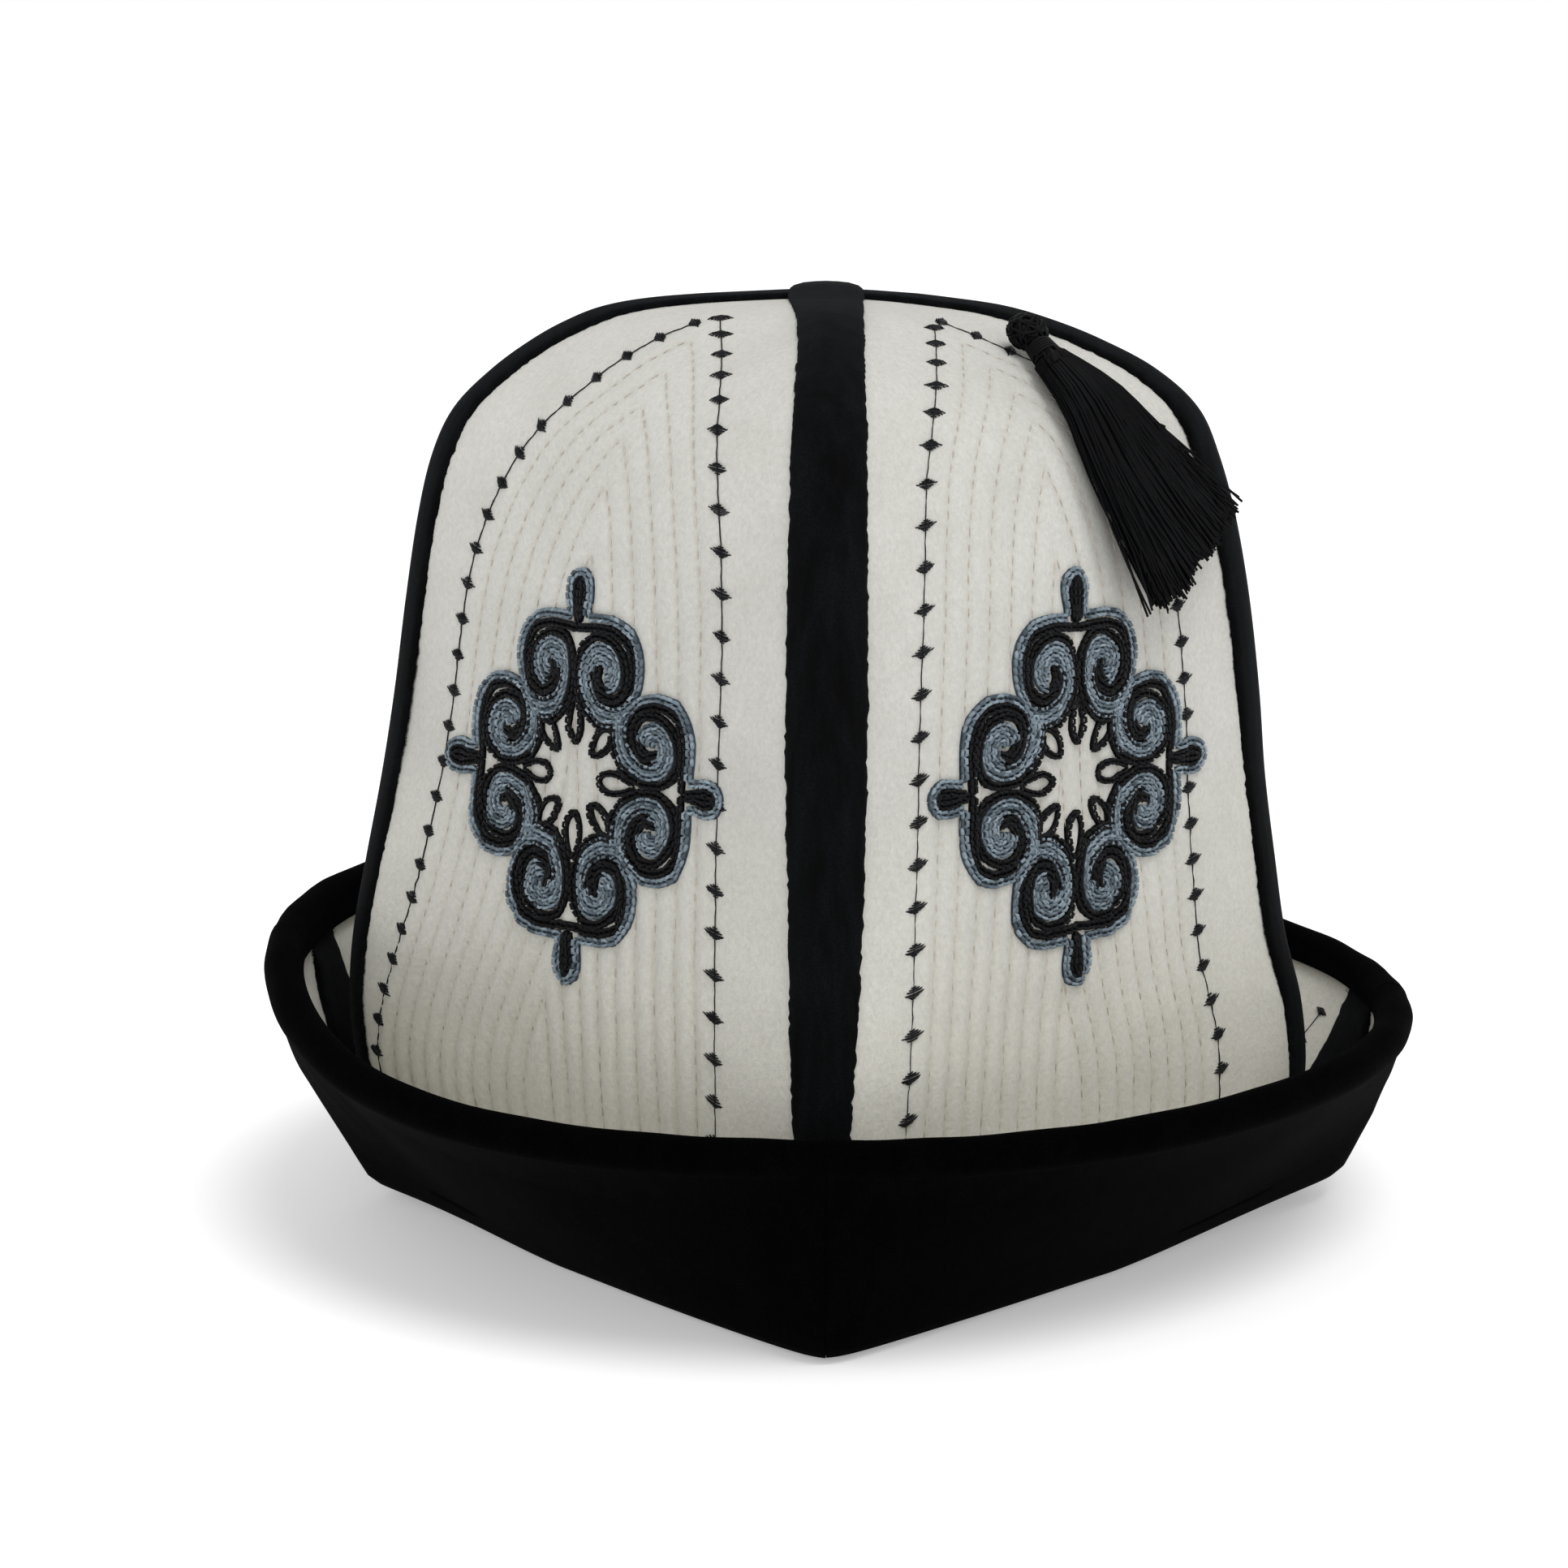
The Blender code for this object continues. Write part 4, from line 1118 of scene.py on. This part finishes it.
def tassel(mat, skirt_mat):
    centres, outs = zip(*(on_crown(a, r, lift) for a, r, lift, w, d in TASSEL))
    centres, outs = np.array(centres), np.array(outs)
    knots = len(TASSEL)
    along = unit(np.gradient(centres, axis=0))
    aside = unit(np.cross(outs, along))
    out = np.cross(along, aside)
    widths = np.array([row[3] for row in TASSEL])
    depths = np.array([row[4] for row in TASSEL])
    rng = np.random.default_rng(7)

    # skirt: every strand keeps its place in the section and ends at its own length
    count, stations = 1400, 11
    turn = rng.uniform(0, 2 * math.pi, count)
    spread = np.sqrt(rng.uniform(0.02, 1.0, count))
    # a cut end that slants, with a few long strands
    place = np.cos(turn) * spread
    reach = 3.84 + 0.12 * rng.random(count) + 0.07 * rng.normal(size=count)
    reach = np.clip(reach + 0.06 * np.sin(place * 9), 3.3, 4.12)
    knot = np.linspace(0, 1, stations)[None] * reach[:, None]

    def along_knots(values, t):
        ends = np.concatenate([[2 * values[0] - values[1]], values, [2 * values[-1] - values[-2]],
                               [3 * values[-1] - 2 * values[-2]]])
        i = np.clip(np.floor(t).astype(int), 0, knots - 1)
        u = (t - i)
        if values.ndim == 2:
            u = u[..., None]
        return spline(ends[i], ends[i + 1], ends[i + 2], ends[i + 3], u)

    c = along_knots(centres, knot)
    s = unit(along_knots(aside, knot))
    o = unit(along_knots(out, knot))
    w = along_knots(widths, knot)
    d = along_knots(depths, knot)
    share = np.linspace(0, 1, stations)[None]
    wander = 0.9 * np.sin(share * rng.uniform(3, 9, count)[:, None] + rng.uniform(0, 6.3, count)[:, None])
    wander2 = 0.35 * np.sin(share * rng.uniform(4, 11, count)[:, None] + rng.uniform(0, 6.3, count)[:, None])
    drift = 1 + 0.13 * rng.normal(size=count)[:, None] * share ** 2
    fuller = 2.3 * (np.clip(np.cos(turn), 0, 1) * spread)[:, None] * np.sin(math.pi * np.minimum(share / 0.85, 1.0))
    x = w * (np.cos(turn) * spread)[:, None] * drift + wander * share + fuller
    y = d * (np.sin(turn) * spread)[:, None] + wander2 * share
    strands = c + s * x[..., None] + o * y[..., None]
    heap = Heap()
    radius = np.broadcast_to(0.27 + 0.05 * rng.random(count)[:, None], (count, stations)).copy()
    radius[:, 0] *= 0.8
    heap.tube(strands, outs.mean(0), radius, 3, tag=np.repeat(rng.random(count), stations * 3))
    # loose strands that leave the skirt on its right
    loose = 60
    t = rng.uniform(1.6, 3.4, loose)
    span = np.linspace(0, 1, 8)[None]
    knot = np.clip(t[:, None] + span * rng.uniform(0.5, 1.0, loose)[:, None], 0, 4.05)
    c, s, o = along_knots(centres, knot), unit(along_knots(aside, knot)), unit(along_knots(out, knot))
    w, d = along_knots(widths, knot), along_knots(depths, knot)
    side = rng.choice([-1.0, 1.0], loose, p=[0.3, 0.7])
    x = side[:, None] * w * (0.85 + 0.25 * span * rng.uniform(0.3, 1.1, loose)[:, None])
    x = x + 0.5 * np.sin(span * 5 + rng.uniform(0, 6, loose)[:, None]) * span
    y = d * rng.uniform(-0.1, 0.7, loose)[:, None] + 0.4 * span
    heap.tube(c + s * x[..., None] + o * y[..., None], outs.mean(0), 0.17, 3)
    obj = heap.make("tassel_strands", skirt_mat)
    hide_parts("tassel_skirt")

    # neck: thread wound round the top of the skirt
    head_at, head_out = on_crown(*HEAD_PLACE)
    way = head_at - centres[0]
    way /= np.linalg.norm(way)
    ref = unit(np.cross(head_out, way))
    ref2 = np.cross(way, ref)
    heap = Heap()
    turns, steps = 5.0, 120
    t = np.linspace(0, 1, steps)
    coil = np.linspace(-0.3, NECK_LENGTH + 0.2, steps)
    angle = 2 * math.pi * turns * t
    grow = NECK_RADIUS * (1.0 - 0.12 * t)
    path = (centres[0] + way * (NECK_GAP + coil)[:, None]
            + ref * (grow * np.cos(angle))[:, None] * 1.15 + ref2 * (grow * np.sin(angle))[:, None] * 0.95)
    heap.tube(path[None], way, 0.42, 6)
    # body of the neck, from the skirt's first section up into the head
    ring = []
    for k, (distance, a, b) in enumerate(((-0.6, 4.2, 2.7), (0.5, 3.3, 2.5), (1.2, 2.75, 2.4), (NECK_GAP + 1.5, 2.6, 2.4),
                                          (NECK_GAP + NECK_LENGTH + 0.4, 2.4, 2.2))):
        angle = np.linspace(0, 2 * math.pi, 33)
        ring.append(centres[0] + way * distance + ref * (a * np.cos(angle))[:, None] + ref2 * (b * np.sin(angle))[:, None])
    heap.grid(np.array(ring), flip=True, tag=0.3)
    # strands that run from the neck over the shoulder of the skirt
    count = 90
    angle = rng.uniform(0, 2 * math.pi, count)
    span = np.linspace(0, 1, 6)
    inner = centres[0] + way * (NECK_GAP + 0.4) + ref * (2.5 * np.cos(angle))[:, None] + ref2 * (2.3 * np.sin(angle))[:, None]
    # the skirt's section is measured along its own axes
    outer = (centres[0] + aside[0] * (4.75 * np.cos(angle) * np.sign(ref @ aside[0]))[:, None]
             + out[0] * (3.05 * np.sin(angle) * np.sign(ref2 @ out[0]))[:, None] - way * 2.5)
    mid_ = (inner + outer) / 2 + (ref * np.cos(angle)[:, None] + ref2 * np.sin(angle)[:, None]) * 0.7
    path = (inner[:, None] * (1 - span)[None, :, None] ** 2 + 2 * mid_[:, None] * ((1 - span) * span)[None, :, None]
            + outer[:, None] * (span ** 2)[None, :, None])
    heap.tube(path, outs[0], 0.26, 3)
    obj = heap.make("tassel_binding", mat)
    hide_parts("tassel_neck")

    # head: a knot of thread over a core
    middle_at = centres[0] + way * (NECK_GAP + NECK_LENGTH + HEAD_GAP + HEAD_SIZE[0])
    sizes = np.array([HEAD_SIZE[1], HEAD_SIZE[2], HEAD_SIZE[0]])
    axes = np.stack([ref, ref2, way])
    heap = Heap()
    theta = np.linspace(0.02, math.pi - 0.02, 17)
    phi = np.linspace(0, 2 * math.pi, 29)
    tg, pg = np.meshgrid(theta, phi, indexing="ij")
    ball = np.stack([np.sin(tg) * np.cos(pg), np.sin(tg) * np.sin(pg), np.cos(tg)], -1) * sizes * 0.86
    heap.grid(middle_at + ball @ axes, flip=False, tag=0.2)
    for k in range(15):
        tilt = 0.95 + 0.25 * math.sin(k * 1.7)
        spin = 2 * math.pi * k / 15 + 0.2 * math.sin(k * 2.3)
        angle = np.linspace(0, 2 * math.pi, 41)
        circle = np.stack([np.cos(angle), np.sin(angle), 0 * angle], -1)
        tilt_m = np.array([[1, 0, 0], [0, math.cos(tilt), -math.sin(tilt)], [0, math.sin(tilt), math.cos(tilt)]])
        spin_m = np.array([[math.cos(spin), -math.sin(spin), 0], [math.sin(spin), math.cos(spin), 0], [0, 0, 1]])
        loop = circle @ tilt_m.T @ spin_m.T
        weave = 0.90 + 0.045 * np.sin(angle * 6 + k * math.pi)
        loop = loop * weave[:, None] * sizes
        path = middle_at + loop @ axes
        points, faces = tubes(path[None], middle_at + 20 * way - path[0] * 0 - middle_at, 0.40, 5)
        heap.add(points, faces, 0.2 + 0.6 * rng.random())
    # cut ends of the knot
    stub = middle_at - ref * sizes[0] * 0.7
    for k in range(9):
        lean = rng.normal(0, 0.35, 3)
        side = -1.0 if k < 6 else 1.0
        root = middle_at + ref * side * sizes[0] * 0.75 + way * rng.uniform(-0.8, 0.4)
        tip = root + (ref * side * 2.1 + lean - head_out * 0.9 - way * rng.uniform(0.2, 1.3))
        bend = (root + tip) / 2 + head_out * 0.35
        heap.tube(np.stack([root, bend, tip])[None], head_out, 0.2, 4)
    obj = heap.make("tassel_knot", mat)
    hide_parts("tassel_head")


# ---------------------------------------------------------------- build
gores = [Gore(name, first) for name, first in GORES]

felt = felt_material()
# the cuff's velvet is a darker copy of the strips' black velvet: its darker colour is painted shade on the cuff's walls
velvet = velvet_material("cuff_velvet_pile", (0.0007, 0.0007, 0.0008), (0.0017, 0.0017, 0.0020), 0.002,
                         (0.75, 0.82, 1.0), (1.0, 1.0, 0.5), 0.012)
strip_velvet = velvet_material("strip_velvet_pile", (0.0008, 0.0009, 0.0012), (0.0060, 0.0070, 0.0085), 0.015,
                               (0.75, 0.85, 1.0), (1.0, 1.0, 0.18))
quilt_thread = thread_material("quilting_thread", (0.60, 0.53, 0.45), (0.72, 0.66, 0.59), 0.6, 0.1)
black_thread = thread_material("black_wool_thread", (0.0016, 0.0016, 0.0022), (0.0065, 0.007, 0.009), 0.6, 0.01, 0.15)
grey_thread = thread_material("blue_grey_thread", (0.042, 0.066, 0.086), (0.290, 0.365, 0.420), 0.55, 0.10, 0.4)
diamond_thread = thread_material("diamond_thread", (0.0015, 0.002, 0.003), (0.010, 0.011, 0.014), 0.5, 0.01, 0.2)
tassel_thread = thread_material("tassel_yarn", (0.0012, 0.0012, 0.0015), (0.0034, 0.0036, 0.0048), 0.5, 0.0, 0.10)

for gore in gores:
    felt_gore(gore, felt)
    cuff_velvet(gore, velvet)
quilting(gores, quilt_thread)
diamonds(gores, diamond_thread)
ornaments(gores, black_thread, grey_thread)
seam_strips(strip_velvet)
tassel(tassel_thread, tassel_thread)


# ---------------------------------------------------------------- studio
def floor():
    mesh = bpy.data.meshes.new("studio_floor")
    size = 6.0
    mesh.from_pydata([(-size, -size, -0.0004), (size, -size, -0.0004), (size, size, -0.0004), (-size, size, -0.0004)],
                     [], [(0, 1, 2, 3)])
    mat, nodes, links, shader = new_material("glowing_studio_paper", 0.9, 0.0, 0.5, (1, 1, 1), 0.1)
    cloud = noise(nodes, links, placed(nodes), 1.2, 2.0)
    links.new(ramp(nodes, links, cloud, ((0.3, (0.94, 0.94, 0.94)), (0.7, (0.96, 0.96, 0.96)))),
              shader.inputs["Base Color"])
    # the floor glows with its own light: painted light that lifts the hat's shadow on it
    shader.inputs["Emission Color"].default_value = (1.0, 1.0, 1.0, 1.0)
    shader.inputs["Emission Strength"].default_value = 0.30
    mesh.materials.append(mat)
    obj = bpy.data.objects.new("studio_floor", mesh)
    bpy.context.scene.collection.objects.link(obj)


def world():
    scene = bpy.context.scene
    scene.world = bpy.data.worlds.new("studio")
    scene.world.use_nodes = True
    nodes, links = scene.world.node_tree.nodes, scene.world.node_tree.links
    dim = nodes["Background"]
    dim.inputs["Color"].default_value = (1.0, 1.0, 1.0, 1.0)
    dim.inputs["Strength"].default_value = 0.62
    bright = nodes.new("ShaderNodeBackground")
    bright.inputs["Color"].default_value = (1.0, 1.0, 1.0, 1.0)
    bright.inputs["Strength"].default_value = 1.0
    choose = nodes.new("ShaderNodeMixShader")
    path = nodes.new("ShaderNodeLightPath")
    links.new(path.outputs["Is Camera Ray"], choose.inputs["Fac"])
    links.new(dim.outputs["Background"], choose.inputs[1])
    links.new(bright.outputs["Background"], choose.inputs[2])
    links.new(choose.outputs["Shader"], nodes["World Output"].inputs["Surface"])


def lamp(name, azimuth, elevation, strength, angle):
    data = bpy.data.lights.new(name, "SUN")
    data.energy = strength
    data.angle = math.radians(angle)
    obj = bpy.data.objects.new(name, data)
    a, e = math.radians(azimuth), math.radians(elevation)
    from mathutils import Vector
    toward = Vector((math.cos(a) * math.cos(e), math.sin(a) * math.cos(e), math.sin(e)))
    obj.location = toward * 2.0
    obj.rotation_euler = toward.to_track_quat("Z", "Y").to_euler()
    bpy.context.scene.collection.objects.link(obj)


floor()
world()
lamp("key", -52, 65, 1.15, 30)
lamp("fill", -100, 22, 0.45, 40)

camera = bpy.data.cameras.new("camera")
camera.sensor_width = 36.0
camera.lens = 36.0 * 4319.0 / 1932.0
camera.shift_x = -52.0 / 1932.0
camera.clip_start = 0.01
view = bpy.data.objects.new("camera", camera)
view.location = (-CENTRE[0] * MM, -0.738 * math.cos(math.radians(10)) - CENTRE[1] * MM,
                 0.0892 + 0.738 * math.sin(math.radians(10)))
view.rotation_euler = (math.radians(80.0), 0.0, 0.0)
bpy.context.scene.collection.objects.link(view)
bpy.context.scene.camera = view
bpy.context.scene.view_settings.view_transform = "Standard"

bpy.context.view_layer.update()
